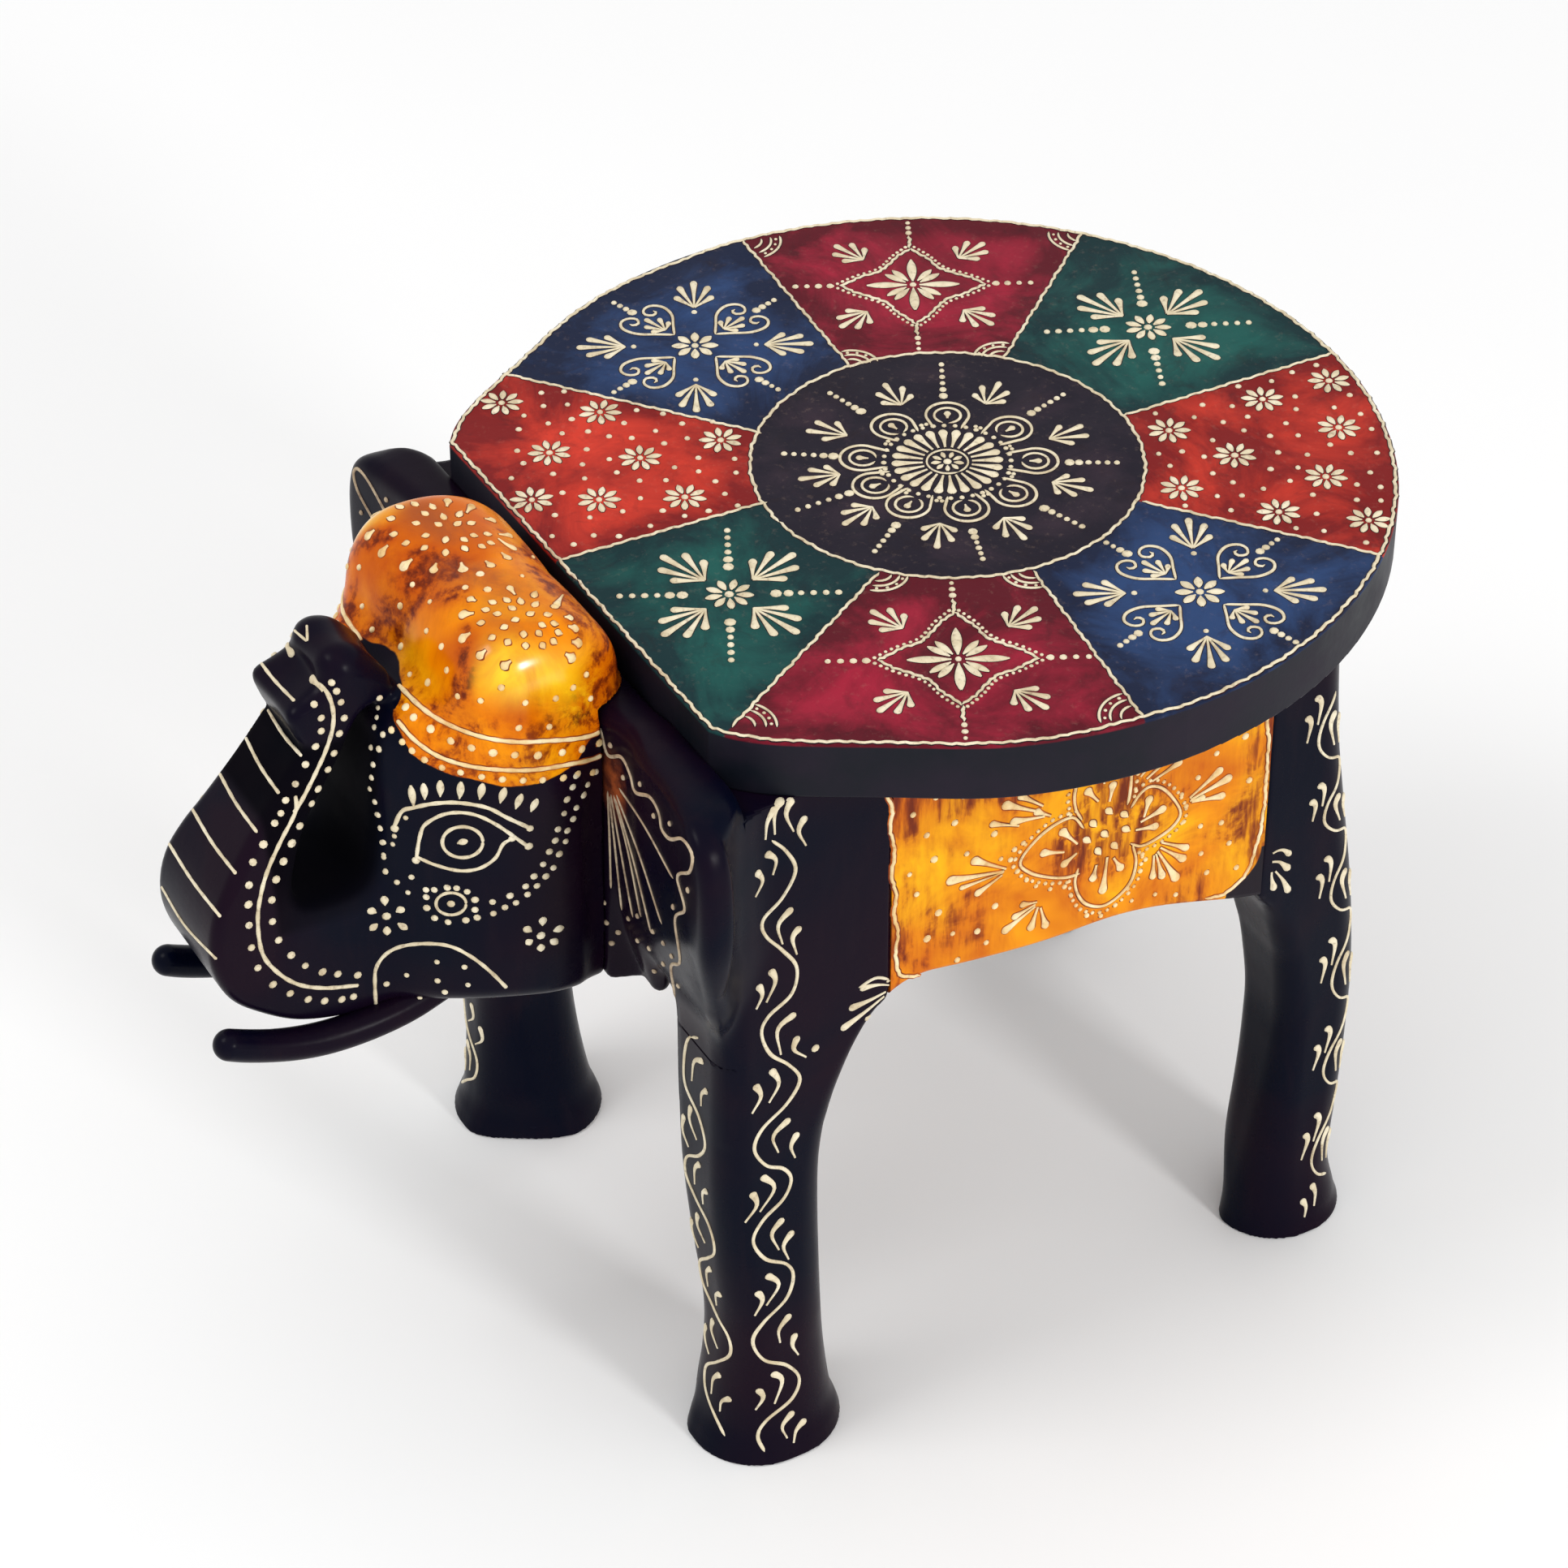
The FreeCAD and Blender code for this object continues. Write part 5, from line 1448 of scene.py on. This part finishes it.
S = [("dot", cz(*p), r) for p, r in (((970, 645), 1.1), ((1025, 760), 1.25), ((860, 745), 0.9), ((380, 880), 1.15),
                                     ((600, 850), 0.8), ((470, 722), 0.8), ((385, 1180), 1.15), ((575, 1065), 0.9),
                                     ((685, 1180), 0.9), ((585, 1445), 1.15), ((1280, 660), 0.7), ((1360, 520), 0.7))]
draw(cap_paint, view_face(head_hull, U, 0.8), S, once)
# scattered dots on both halves
S = [("dot", p, 0.9) for p in ((510, 940), (650, 1000), (960, 1030), (755, 1020), (930, 1145),
                               (1070, 1140), (1240, 900), (1260, 1010), (1180, 960), (600, 880), (850, 960),
                               (1100, 1010), (430, 900))]
draw(cap_paint, view_face(head_hull, K, 4.1), S, both)
# the same rosette carries on over the hidden outer side of the far half
hid = [("drop", [cz(*a), cz(*b), cz(*c)], w) for a, b, c, w in (
    ((1598, 1232), (1628, 1252), (1670, 1282), 3.4), ((1645, 1145), (1680, 1150), (1722, 1158), 2.9),
    ((1196, 1286), (1170, 1306), (1126, 1344), 3.3))]
draw(cap_paint, view_face(head_hull, U, 0.8), hid, (-1,))
cap_paint.finish("cap_conework", "black_lacquer")

# ------------------------------------------------------------------ materials
def lin(r, g, b):
    f = lambda c: (c / 255.0 / 12.92) if c <= 10 else ((c / 255.0 + 0.055) / 1.055) ** 2.4
    return (f(r), f(g), f(b), 1.0)


class Mat:
    """Small helper for node materials."""

    def __init__(self, name):
        self.mat = bpy.data.materials.new(name)
        self.mat.use_nodes = True
        self.nt = self.mat.node_tree
        self.nt.nodes.clear()
        out = self.nt.nodes.new("ShaderNodeOutputMaterial")
        self.bsdf = self.nt.nodes.new("ShaderNodeBsdfPrincipled")
        self.nt.links.new(self.bsdf.outputs[0], out.inputs[0])
        self.obj = self.nt.nodes.new("ShaderNodeTexCoord").outputs["Object"]

    def put(self, v, sock):
        if isinstance(v, bpy.types.NodeSocket):
            self.nt.links.new(v, sock)
        else:
            sock.default_value = v

    def math(self, op, a, b=0.0, clamp=False):
        n = self.nt.nodes.new("ShaderNodeMath")
        n.operation = op
        n.use_clamp = clamp
        self.put(a, n.inputs[0])
        self.put(b, n.inputs[1])
        return n.outputs[0]

    def xyz(self):
        n = self.nt.nodes.new("ShaderNodeSeparateXYZ")
        self.nt.links.new(self.obj, n.inputs[0])
        return n.outputs

    def noise(self, scale, detail=4.0, rough=0.55, warp=0.0, stretch=None, shift=(0, 0, 0)):
        vec = self.obj
        if stretch is not None or any(shift):
            m = self.nt.nodes.new("ShaderNodeMapping")
            m.inputs["Scale"].default_value = stretch or (1, 1, 1)
            m.inputs["Location"].default_value = shift
            self.nt.links.new(vec, m.inputs["Vector"])
            vec = m.outputs[0]
        n = self.nt.nodes.new("ShaderNodeTexNoise")
        n.inputs["Scale"].default_value = scale
        n.inputs["Detail"].default_value = detail
        n.inputs["Roughness"].default_value = rough
        n.inputs["Distortion"].default_value = warp
        self.nt.links.new(vec, n.inputs["Vector"])
        return n.outputs["Fac"]

    def ramp(self, fac, stops, mode="LINEAR"):
        n = self.nt.nodes.new("ShaderNodeValToRGB")
        e = n.color_ramp.elements
        n.color_ramp.interpolation = mode
        while len(e) < len(stops):
            e.new(0.5)
        for el, (p, c) in zip(e, stops):
            el.position = p
            el.color = c if isinstance(c, tuple) else (c, c, c, 1.0)
        self.put(fac, n.inputs[0])
        return n.outputs[0]

    def mix(self, fac, a, b, mode="MIX"):
        n = self.nt.nodes.new("ShaderNodeMix")
        n.data_type = "RGBA"
        n.blend_type = mode
        self.put(fac, n.inputs[0])
        self.put(a, n.inputs[6])
        self.put(b, n.inputs[7])
        return n.outputs[2]

    def dot(self, v):
        n = self.nt.nodes.new("ShaderNodeVectorMath")
        n.operation = "DOT_PRODUCT"
        self.nt.links.new(self.obj, n.inputs[0])
        n.inputs[1].default_value = v
        return n.outputs["Value"]

    def attr(self, name):
        n = self.nt.nodes.new("ShaderNodeAttribute")
        n.attribute_name = name
        return n.outputs["Fac"]

    def step(self, v, edge, width):
        """0 below the edge, 1 above it."""
        n = self.nt.nodes.new("ShaderNodeMapRange")
        n.interpolation_type = "SMOOTHSTEP"
        self.put(v, n.inputs["Value"])
        n.inputs["From Min"].default_value = edge - width / 2
        n.inputs["From Max"].default_value = edge + width / 2
        return n.outputs["Result"]

    def bump(self, height, strength, dist):
        n = self.nt.nodes.new("ShaderNodeBump")
        n.inputs["Strength"].default_value = strength
        n.inputs["Distance"].default_value = dist
        self.put(height, n.inputs["Height"])
        self.nt.links.new(n.outputs[0], self.bsdf.inputs["Normal"])

    def finish(self, colour, rough, spec=0.3, coat=0.0, coat_rough=0.1, metal=0.0):
        """The coat may be a socket; the other values are the same all over."""
        b = self.bsdf.inputs
        self.put(colour, b["Base Color"])
        self.put(rough, b["Roughness"])
        b["Specular IOR Level"].default_value = spec
        self.put(coat, b["Coat Weight"])
        b["Coat Roughness"].default_value = coat_rough
        b["Metallic"].default_value = metal
        return self.mat


def black_colour(m):
    """Purple-black to blue-black lacquer with brush marks and a little wear."""
    patch = m.noise(15.0, 3.0, 0.5, 0.6)
    fine = m.noise(150.0, 5.0, 0.6, stretch=(1.0, 1.0, 0.22))
    a = m.mix(m.ramp(patch, [(0.38, 0.0), (0.60, 1.0)]), lin(3, 6, 23), lin(22, 8, 23))
    return m.mix(m.math("MULTIPLY", m.ramp(fine, [(0.52, 0.0), (0.86, 1.0)]), 0.25), a, lin(36, 22, 30))


def orange_colour(m, dark=None, streaks=False):
    """Golden orange lacquer with red-brown patina in clouds and fine streaks."""
    cloud = m.noise(30.0, 6.0, 0.62, 0.9)
    glow = m.noise(22.0, 3.0, 0.5, 0.4, shift=(3.1, 1.7, 0.4))
    fine = m.noise(230.0, 4.0, 0.65, stretch=(1.0, 1.0, 0.16) if streaks else (1.0, 1.0, 1.0))
    tones = (lin(208, 112, 0), lin(236, 148, 0), lin(250, 182, 6)) if streaks else (lin(208, 98, 0), lin(236, 132, 0), lin(247, 165, 8))
    base = m.ramp(glow, list(zip((0.36, 0.48, 0.60), tones)))
    k = m.ramp(cloud, [(0.41, 0.0), (0.53, 0.45), (0.66, 1.0)] if streaks else [(0.44, 0.0), (0.56, 0.45), (0.68, 1.0)])
    if dark is not None:
        k = m.math("ADD", k, dark, clamp=True)
    k = m.math("MULTIPLY", k, m.ramp(fine, [(0.34, 0.35), (0.62, 1.0)]), clamp=True)
    c = m.mix(m.math("MULTIPLY", k, 0.95), base, lin(176, 62, 6))
    return m.mix(m.ramp(k, [(0.55, 0.0), (1.0, 0.85)]), c, lin(88, 28, 8))


def coated(m, colour, rough_lo, rough_hi, scale=60.0, **kw):
    r = m.ramp(m.noise(scale, 4.0, 0.6), [(0.3, rough_lo), (0.75, rough_hi)])
    return m.finish(colour, r, **kw)


m = Mat("black_lacquer")
m.bump(m.noise(95.0, 3.0, 0.5, stretch=(1.0, 1.0, 0.4)), 0.22, 0.0006)
black = coated(m, black_colour(m), 0.22, 0.36, spec=0.06)

# the ear board: the same, with an old orange stain where the fan of lines begins
m = Mat("ear_lacquer")
x, y, z = m.xyz()
dx = m.math("SUBTRACT", m.math("ABSOLUTE", x), 0.0462)
dz = m.math("SUBTRACT", z, 0.2215)
d = m.math("SQRT", m.math("ADD", m.math("POWER", dx, 2.0), m.math("POWER", m.math("MULTIPLY", dz, 0.55), 2.0)))
stain = m.math("MULTIPLY", m.step(d, 0.0048, -0.006), m.ramp(m.noise(260.0, 4.0, 0.6), [(0.35, 0.2), (0.6, 0.8)]))
m.bump(m.noise(95.0, 3.0, 0.5, stretch=(1.0, 1.0, 0.4)), 0.22, 0.0006)
ear_mat = coated(m, m.mix(stain, black_colour(m), lin(168, 84, 44)), 0.22, 0.36, spec=0.06)

# the head: black below, orange cap above the hem
m = Mat("head_lacquer")
d = m.attr("cap_side")
worn = m.attr("cap_worn")
x, y, z = m.xyz()
smear = m.noise(52.0, 5.0, 0.65, 1.2, stretch=(1.0, 1.0, 0.35))
blot = m.noise(70.0, 5.0, 0.7, 0.8, shift=(1.3, 4.1, 2.2))
low = m.math("MULTIPLY", m.step(z, 0.2530, -0.018), m.ramp(blot, [(0.38, 0.15), (0.54, 1.0)]))
rear = m.math("MULTIPLY", m.step(y, (-129.0 + SY) / 1000.0, 0.012), m.ramp(blot, [(0.40, 0.15), (0.58, 1.0)]))
dark = m.math("ADD", m.math("MULTIPLY", worn, m.ramp(smear, [(0.26, 0.70), (0.48, 1.0)])),
              m.math("ADD", m.math("MULTIPLY", low, 0.9), rear), clamp=True)
oc = orange_colour(m, dark)
# the worn lilac bloom between the halves, on top
bloom = m.math("MULTIPLY", m.attr("cap_bloom"), m.ramp(blot, [(0.36, 0.25), (0.60, 1.0)]))
oc = m.mix(m.math("MULTIPLY", bloom, 0.7), oc, lin(120, 62, 44))
# painted highlight: near the glint on the near half the cap's colour is pushed to bright yellow, with more coat there
oc = m.mix(m.math("MULTIPLY", m.math("MULTIPLY", m.attr("cap_painted_glint"), m.math("SUBTRACT", 1.0, dark, clamp=True)),
                  m.ramp(smear, [(0.30, 0.35), (0.55, 1.0)])), oc, lin(255, 206, 24))
edge = m.step(m.math("ADD", d, m.math("MULTIPLY", m.math("SUBTRACT", m.noise(120.0), 0.5), 1.6)), 0.0, 0.5)
m.bump(m.noise(80.0, 3.0, 0.5), 0.22, 0.0006)
# painted shade: inside the hollow of the trunk's loop the lacquer colour is made almost black, and the surface there
# rougher
inner = m.math("MULTIPLY", m.step(m.math("ABSOLUTE", m.math("SUBTRACT", y, (-195.0 + SY) / 1000.0)), 0.0165, -0.003),
               m.math("MULTIPLY", m.step(m.math("ABSOLUTE", m.math("SUBTRACT", z, 0.2125)), 0.0270, -0.004),
                      m.step(m.math("ABSOLUTE", x), 0.0190, -0.004)))
gloss = m.ramp(m.noise(60.0, 4.0, 0.6), [(0.3, 0.22), (0.75, 0.34)])
gloss = m.math("ADD", gloss, m.math("MULTIPLY", inner, 0.62), clamp=True)
loop_painted_shade = m.mix(m.math("MULTIPLY", inner, 0.85), black_colour(m), lin(1, 1, 5))
head_mat = m.finish(m.mix(edge, loop_painted_shade, oc), gloss, spec=0.06,
                  coat=m.math("MULTIPLY", edge, m.math("ADD", 0.06, m.math("MULTIPLY", m.attr("cap_painted_glint"), 0.94))),
                  coat_rough=0.17)

# orange panels, darker towards their edges, black past the rounded lower corner
m = Mat("orange_lacquer")
x, y, z = m.xyz()
yl = m.math("SUBTRACT", y, SY / 1000.0)
top = m.step(z, 0.213, 0.018)
ends = m.step(m.math("ABSOLUTE", m.math("ADD", yl, 0.0058)), 0.054, 0.020)
blot = m.noise(48.0, 5.0, 0.65, 0.8, shift=(0.7, 2.3, 5.0))
heart = m.math("SQRT", m.math("ADD", m.math("POWER", m.math("SUBTRACT", yl, 0.0012), 2.0),
                              m.math("POWER", m.math("SUBTRACT", z, 0.1885), 2.0)))
heart = m.math("MULTIPLY", m.step(heart, 0.0175, -0.012), m.ramp(m.noise(210.0, 3.0, 0.6), [(0.34, 0.15), (0.58, 0.85)]))
oc = orange_colour(m, m.math("ADD", heart, m.math("MULTIPLY", m.math("ADD", m.math("MULTIPLY", top, 1.3), m.math("MULTIPLY", ends, 0.65)),
                                                  m.ramp(blot, [(0.30, 0.30), (0.52, 1.0)])), clamp=True), streaks=True)
dy, dz = m.math("SUBTRACT", yl, 0.0426), m.math("SUBTRACT", z, 0.1602)
far_out = m.step(m.math("SQRT", m.math("ADD", m.math("POWER", dy, 2.0), m.math("POWER", dz, 2.0))), 0.0110, 0.0004)
corner = m.math("MULTIPLY", far_out, m.math("MULTIPLY", m.math("GREATER_THAN", dy, 0.0), m.math("LESS_THAN", dz, 0.0)))
corner = m.math("MULTIPLY", corner, m.math("GREATER_THAN", m.math("ABSOLUTE", x), 0.089))
m.bump(m.math("ADD", m.noise(300.0, 3.0, 0.5, stretch=(1.0, 1.0, 0.14)), m.noise(60.0, 2.0)), 0.18, 0.0005)
orange = coated(m, m.mix(corner, oc, lin(22, 14, 24)), 0.30, 0.46, spec=0.12)

# the seat: eight painted sectors round a dark medallion, blue-black rim
m = Mat("painted_seat")
sx, sy = SEAT_C[0] / 1000.0, (SEAT_C[1] + SY) / 1000.0
x, y, z = m.xyz()
sides, near = [], None
for (a0, a1), (b0, b1) in SPOKES:
    dx, dy = b0 - a0, b1 - a1
    L = math.hypot(dx, dy)
    nx, ny = -dy / L, dx / L
    s = m.math("SUBTRACT", m.dot((nx, ny, 0.0)), (nx * a0 + ny * (a1 + SY)) / 1000.0)
    sides.append(m.step(s, 0.0, 0.0006))
    # distance to this spoke, on its own side of the middle only
    back = m.math("MULTIPLY", m.math("LESS_THAN", m.dot((dx / L, dy / L, 0.0)),
                                     (dx / L * sx * 1000.0 + dy / L * sy * 1000.0) / 1000.0), 1.0)
    e = m.math("ADD", m.math("ABSOLUTE", s), back)
    near = e if near is None else m.math("MINIMUM", near, e)
r2 = m.math("SQRT", m.math("ADD", m.math("POWER", m.math("SUBTRACT", x, sx), 2.0),
                           m.math("POWER", m.math("SUBTRACT", y, sy), 2.0)))
ro = m.math("SQRT", m.math("ADD", m.math("POWER", x, 2.0), m.math("POWER", m.math("SUBTRACT", y, SY / 1000.0), 2.0)))
near = m.math("MINIMUM", near, m.math("ABSOLUTE", m.math("SUBTRACT", r2, MEDAL_R / 1000.0)))
near = m.math("MINIMUM", near, m.math("SUBTRACT", 0.127, ro))
near = m.math("MINIMUM", near, m.math("SUBTRACT", y, (-111.6 + SY) / 1000.0))
rub = m.step(near, 0.0085, -0.015)
PAINT = {"green": (lin(8, 44, 48), lin(22, 84, 78)), "maroon": (lin(88, 8, 26), lin(158, 26, 52)),
         "blue": (lin(17, 28, 56), lin(38, 64, 108)), "red": (lin(122, 20, 20), lin(206, 56, 38))}
order = ["green", "maroon", "blue", "red", "green", "maroon", "blue", "red"]
cloud = m.noise(24.0, 6.0, 0.66, 0.9)
tone = m.math("SUBTRACT", m.ramp(cloud, [(0.36, 0.0), (0.62, 1.0)]),
              m.math("MULTIPLY", rub, m.ramp(m.noise(60.0, 4.0, 0.6), [(0.3, 0.25), (0.65, 0.75)])), clamp=True)
shades = {k: m.mix(tone, a, b) for k, (a, b) in PAINT.items()}
col = shades["green"]
for i, k in enumerate(order):
    inside = m.math("MULTIPLY", sides[i], m.math("SUBTRACT", 1.0, sides[(i + 1) % 8]))
    col = m.mix(inside, col, shades[k])
disc = m.step(r2, MEDAL_R / 1000.0, 0.0006)
col = m.mix(disc, m.mix(tone, lin(26, 20, 34), lin(50, 36, 48)), col)
worn = m.noise(90.0, 5.0, 0.7, 1.0)
col = m.mix(m.math("MULTIPLY", m.ramp(worn, [(0.54, 0.0), (0.78, 1.0)]), 0.5), col, lin(30, 14, 18))
fine = m.noise(420.0, 4.0, 0.7)
col = m.mix(m.math("MULTIPLY", m.ramp(fine, [(0.58, 0.0), (0.84, 1.0)]), 0.14), col, lin(190, 160, 140))
rim = m.step(z, 0.2531, 0.0006)
edge_col = m.mix(m.ramp(m.noise(30.0, 4.0, 0.6), [(0.38, 0.0), (0.66, 1.0)]), lin(15, 19, 27), lin(30, 24, 36))
col = m.mix(rim, edge_col, col)
m.bump(m.math("ADD", m.noise(260.0, 3.0, 0.6), m.math("MULTIPLY", m.noise(40.0, 3.0, 0.5), 2.0)), 0.16, 0.0004)
seat_mat = coated(m, col, 0.40, 0.58, spec=0.12)

# raised cream lines, a little brown in the hollows
m = Mat("cone_cream")
n1 = m.noise(130.0, 4.0, 0.6)
n2 = m.noise(700.0, 3.0, 0.6)
col = m.ramp(n1, [(0.30, lin(198, 180, 146)), (0.52, lin(226, 213, 182)), (0.75, lin(242, 232, 206))])
col = m.mix(m.math("MULTIPLY", m.ramp(n2, [(0.55, 0.0), (0.78, 1.0)]), 0.6), col, lin(112, 84, 62))
m.bump(n2, 0.3, 0.0002)
cream = coated(m, col, 0.42, 0.6, spec=0.3)
m = Mat("cone_cream_dull")
n1 = m.noise(130.0, 4.0, 0.6)
n2 = m.noise(600.0, 3.0, 0.6)
col = m.ramp(n1, [(0.30, lin(148, 124, 100)), (0.52, lin(188, 168, 140)), (0.75, lin(214, 198, 170))])
col = m.mix(m.math("MULTIPLY", m.ramp(n2, [(0.50, 0.0), (0.76, 1.0)]), 0.65), col, lin(92, 66, 52))
m.bump(n2, 0.3, 0.0002)
cream3 = coated(m, col, 0.45, 0.62, spec=0.25)
m = Mat("cone_cream_warm")
n1 = m.noise(130.0, 4.0, 0.6)
n2 = m.noise(500.0, 3.0, 0.6)
col = m.ramp(n1, [(0.30, lin(218, 172, 104)), (0.52, lin(240, 214, 160)), (0.75, lin(252, 236, 196))])
col = m.mix(m.math("MULTIPLY", m.ramp(n2, [(0.55, 0.0), (0.80, 1.0)]), 0.5), col, lin(150, 88, 36))
m.bump(n2, 0.3, 0.0002)
cream2 = coated(m, col, 0.42, 0.6, spec=0.3)

# what has settled round the strokes
m = Mat("patina_brown")
n1 = m.noise(160.0, 4.0, 0.6)
patina = coated(m, m.ramp(n1, [(0.32, lin(96, 34, 8)), (0.52, lin(150, 66, 10)), (0.72, lin(206, 104, 10))]), 0.4, 0.55, spec=0.15)

m = Mat("patina_dark")
n1 = m.noise(160.0, 4.0, 0.6)
patina_dark = coated(m, m.ramp(n1, [(0.32, lin(14, 10, 16)), (0.56, lin(38, 18, 26)), (0.74, lin(70, 30, 36))]), 0.45, 0.6, spec=0.12)

m = Mat("bare_wood")
g1 = m.noise(60.0, 5.0, 0.6, 1.5, stretch=(1.0, 0.12, 1.0))
col = m.ramp(g1, [(0.3, lin(150, 108, 66)), (0.55, lin(190, 146, 96)), (0.8, lin(212, 172, 120))])
m.bump(g1, 0.3, 0.0004)
wood = coated(m, col, 0.55, 0.75, spec=0.3)

m = Mat("screw_steel")
g1 = m.noise(300.0, 4.0, 0.6, stretch=(1.0, 1.0, 0.1))
col = m.ramp(g1, [(0.3, lin(150, 150, 152)), (0.8, lin(196, 196, 200))])
steel = coated(m, col, 0.25, 0.45, spec=0.5, metal=1.0)


def put(ob, mat):
    ob.data.materials.clear()
    ob.data.materials.append(mat)


for o in list(scene.objects):
    if o.type == "MESH" and not o.hide_render:
        put(o, black)
for ob in CONE:
    put(ob, patina_dark if "seat_patina" in ob.name else patina if "patina" in ob.name else cream2 if "flank" in ob.name or "rump" in ob.name or "cap" in ob.name else cream3 if "ear" in ob.name else cream)
for n in ("left_flank_board", "right_flank_board", "rump_board"):
    put(NODES[n], orange)
put(NODES["seat_board"], seat_mat)
put(NODES["seat_plugs"], seat_mat)
for n in ("flank_dowels", "rump_dowels", "front_board_dowels"):
    put(NODES[n], wood)
for n in ("head_screws", "seat_screws"):
    put(NODES[n], steel)
put(bpy.data.objects["front_board_carved"], ear_mat)

# where the cap ends, as a signed height in millimetres, where it is worn, and where a glint is painted on it
head_ob = bpy.data.objects["head_carved"]
P = SOLIDS["head_carved"][0]
zs = table1([-200, -176, -171.7, -166.8, -160.4, -152.7, -144.2, -134.5, -128.0, -112.0],
            [238.5, 237.5, 236.0, 233.6, 232.4, 230.0, 229.6, 232.3, 237.4, 242.0])
fx = table1([0, 5, 8, 13, 19, 22.5, 25.3, 28.4, 50], [14.0, 13.8, 13.0, 11.0, 7.2, 5.2, 2.4, 0.0, 0.0])
fy = table1([0, 4, 8, 13.5, 17, 20, 60], [-164.4, -165.4, -167.2, -169.3, -173.0, -186.0, -186.0])
ax = np.abs(P[:, 0])
hem = zs(P[:, 1]) + fx(ax) * smooth01((-158.0 - P[:, 1]) / 8.0)
side_of = np.minimum(P[:, 2] - hem, P[:, 1] - fy(ax))


def near_path(P, pts, wide):
    """1 on a path of points, falling to 0 at the given width on each side."""
    pts = np.asarray(pts, float)
    best = np.full(len(P), 1e9)
    for a, b in zip(pts[:-1], pts[1:]):
        t = np.clip(((P - a) @ (b - a)) / ((b - a) @ (b - a)), 0, 1)
        best = np.minimum(best, np.linalg.norm(P - (a + t[:, None] * (b - a)), axis=1))
    return 1 - smooth01(best / wide)


Q = P.copy()
worn = near_path(Q, [(-5.5, -163.0, 254.0), (-2.6, -158.3, 261.6), (-0.9, -154.4, 266.0), (-1.1, -150.5, 268.4),
                     (-1.4, -147.2, 269.4)], 11.0)
Q[:, 0] = ax
worn = np.maximum(worn, near_path(Q, [(23.9, -154.5, 268.6), (28.4, -157.5, 266.9), (31.5, -159.5, 263.2),
                                      (33.4, -161.0, 256.0)], 5.5))
worn = np.maximum(worn, 0.9 * near_path(Q, [(9.9, -150.7, 270.5), (6.4, -153.5, 267.9)], 6.0))
bloom = near_path(P, [(-1.4, -147.2, 269.4), (6.8, -142.5, 270.4), (10.0, -140.0, 270.6)], 9.0)
Q[:, 0] = ax
bloom = np.maximum(bloom, near_path(Q, [(16.0, -139.0, 271.5), (26.0, -143.0, 271.0)], 12.0) * 0.8)
# painted highlight: where the cap's colour is made bright yellow to stand for the glint of the window light
painted_glint = near_path(Q, [(37.5, -151.5, 264.0), (39.3, -147.6, 262.5), (41.4, -137.1, 258.0), (41.4, -134.9, 252.0)], 13.5)
for nm, val in (("cap_side", side_of), ("cap_worn", worn), ("cap_bloom", bloom), ("cap_painted_glint", painted_glint)):
    at = head_ob.data.attributes.new(nm, "FLOAT", "POINT")
    at.data.foreach_set("value", val.astype(np.float32))
put(head_ob, head_mat)

# ------------------------------------------------------------------ stage
def plane(name, size, z):
    me = bpy.data.meshes.new(name)
    s = size / 2
    me.from_pydata([(-s, -s, z), (s, -s, z), (s, s, z), (-s, s, z)], [], [(0, 1, 2, 3)])
    ob = bpy.data.objects.new(name, me)
    scene.collection.objects.link(ob)
    return ob


floor = plane("floor", 30.0, 0.0)
m = Mat("floor_paint")
col = m.ramp(m.noise(3.0, 2.0, 0.5), [(0.3, lin(248, 248, 248)), (0.7, lin(250, 250, 250))])
put(floor, m.finish(col, 0.8, spec=0.1))

scene.view_settings.view_transform = "Standard"
scene.view_settings.look = "None"
scene.view_settings.exposure = 0.0
scene.view_settings.gamma = 1.0

world = bpy.data.worlds.new("world")
scene.world = world
world.use_nodes = True
bg = world.node_tree.nodes["Background"]
bg.inputs[0].default_value = (1.0, 1.0, 1.0, 1.0)
bg.inputs[1].default_value = 0.83


def area(name, loc, target, size, power):
    ld = bpy.data.lights.new(name, "AREA")
    ld.shape = "SQUARE"
    ld.size = size
    ld.energy = power
    ob = bpy.data.objects.new(name, ld)
    scene.collection.objects.link(ob)
    ob.location = loc
    d = Vector(target) - Vector(loc)
    ob.rotation_euler = d.to_track_quat("-Z", "Y").to_euler()
    return ob


area("key", (-0.2, -1.5, 2.3), (0, 0, 0.15), 0.9, 16.0)
area("window", (2.0, 0.50, 0.98), (0, 0, 0.15), 0.34, 17.0)
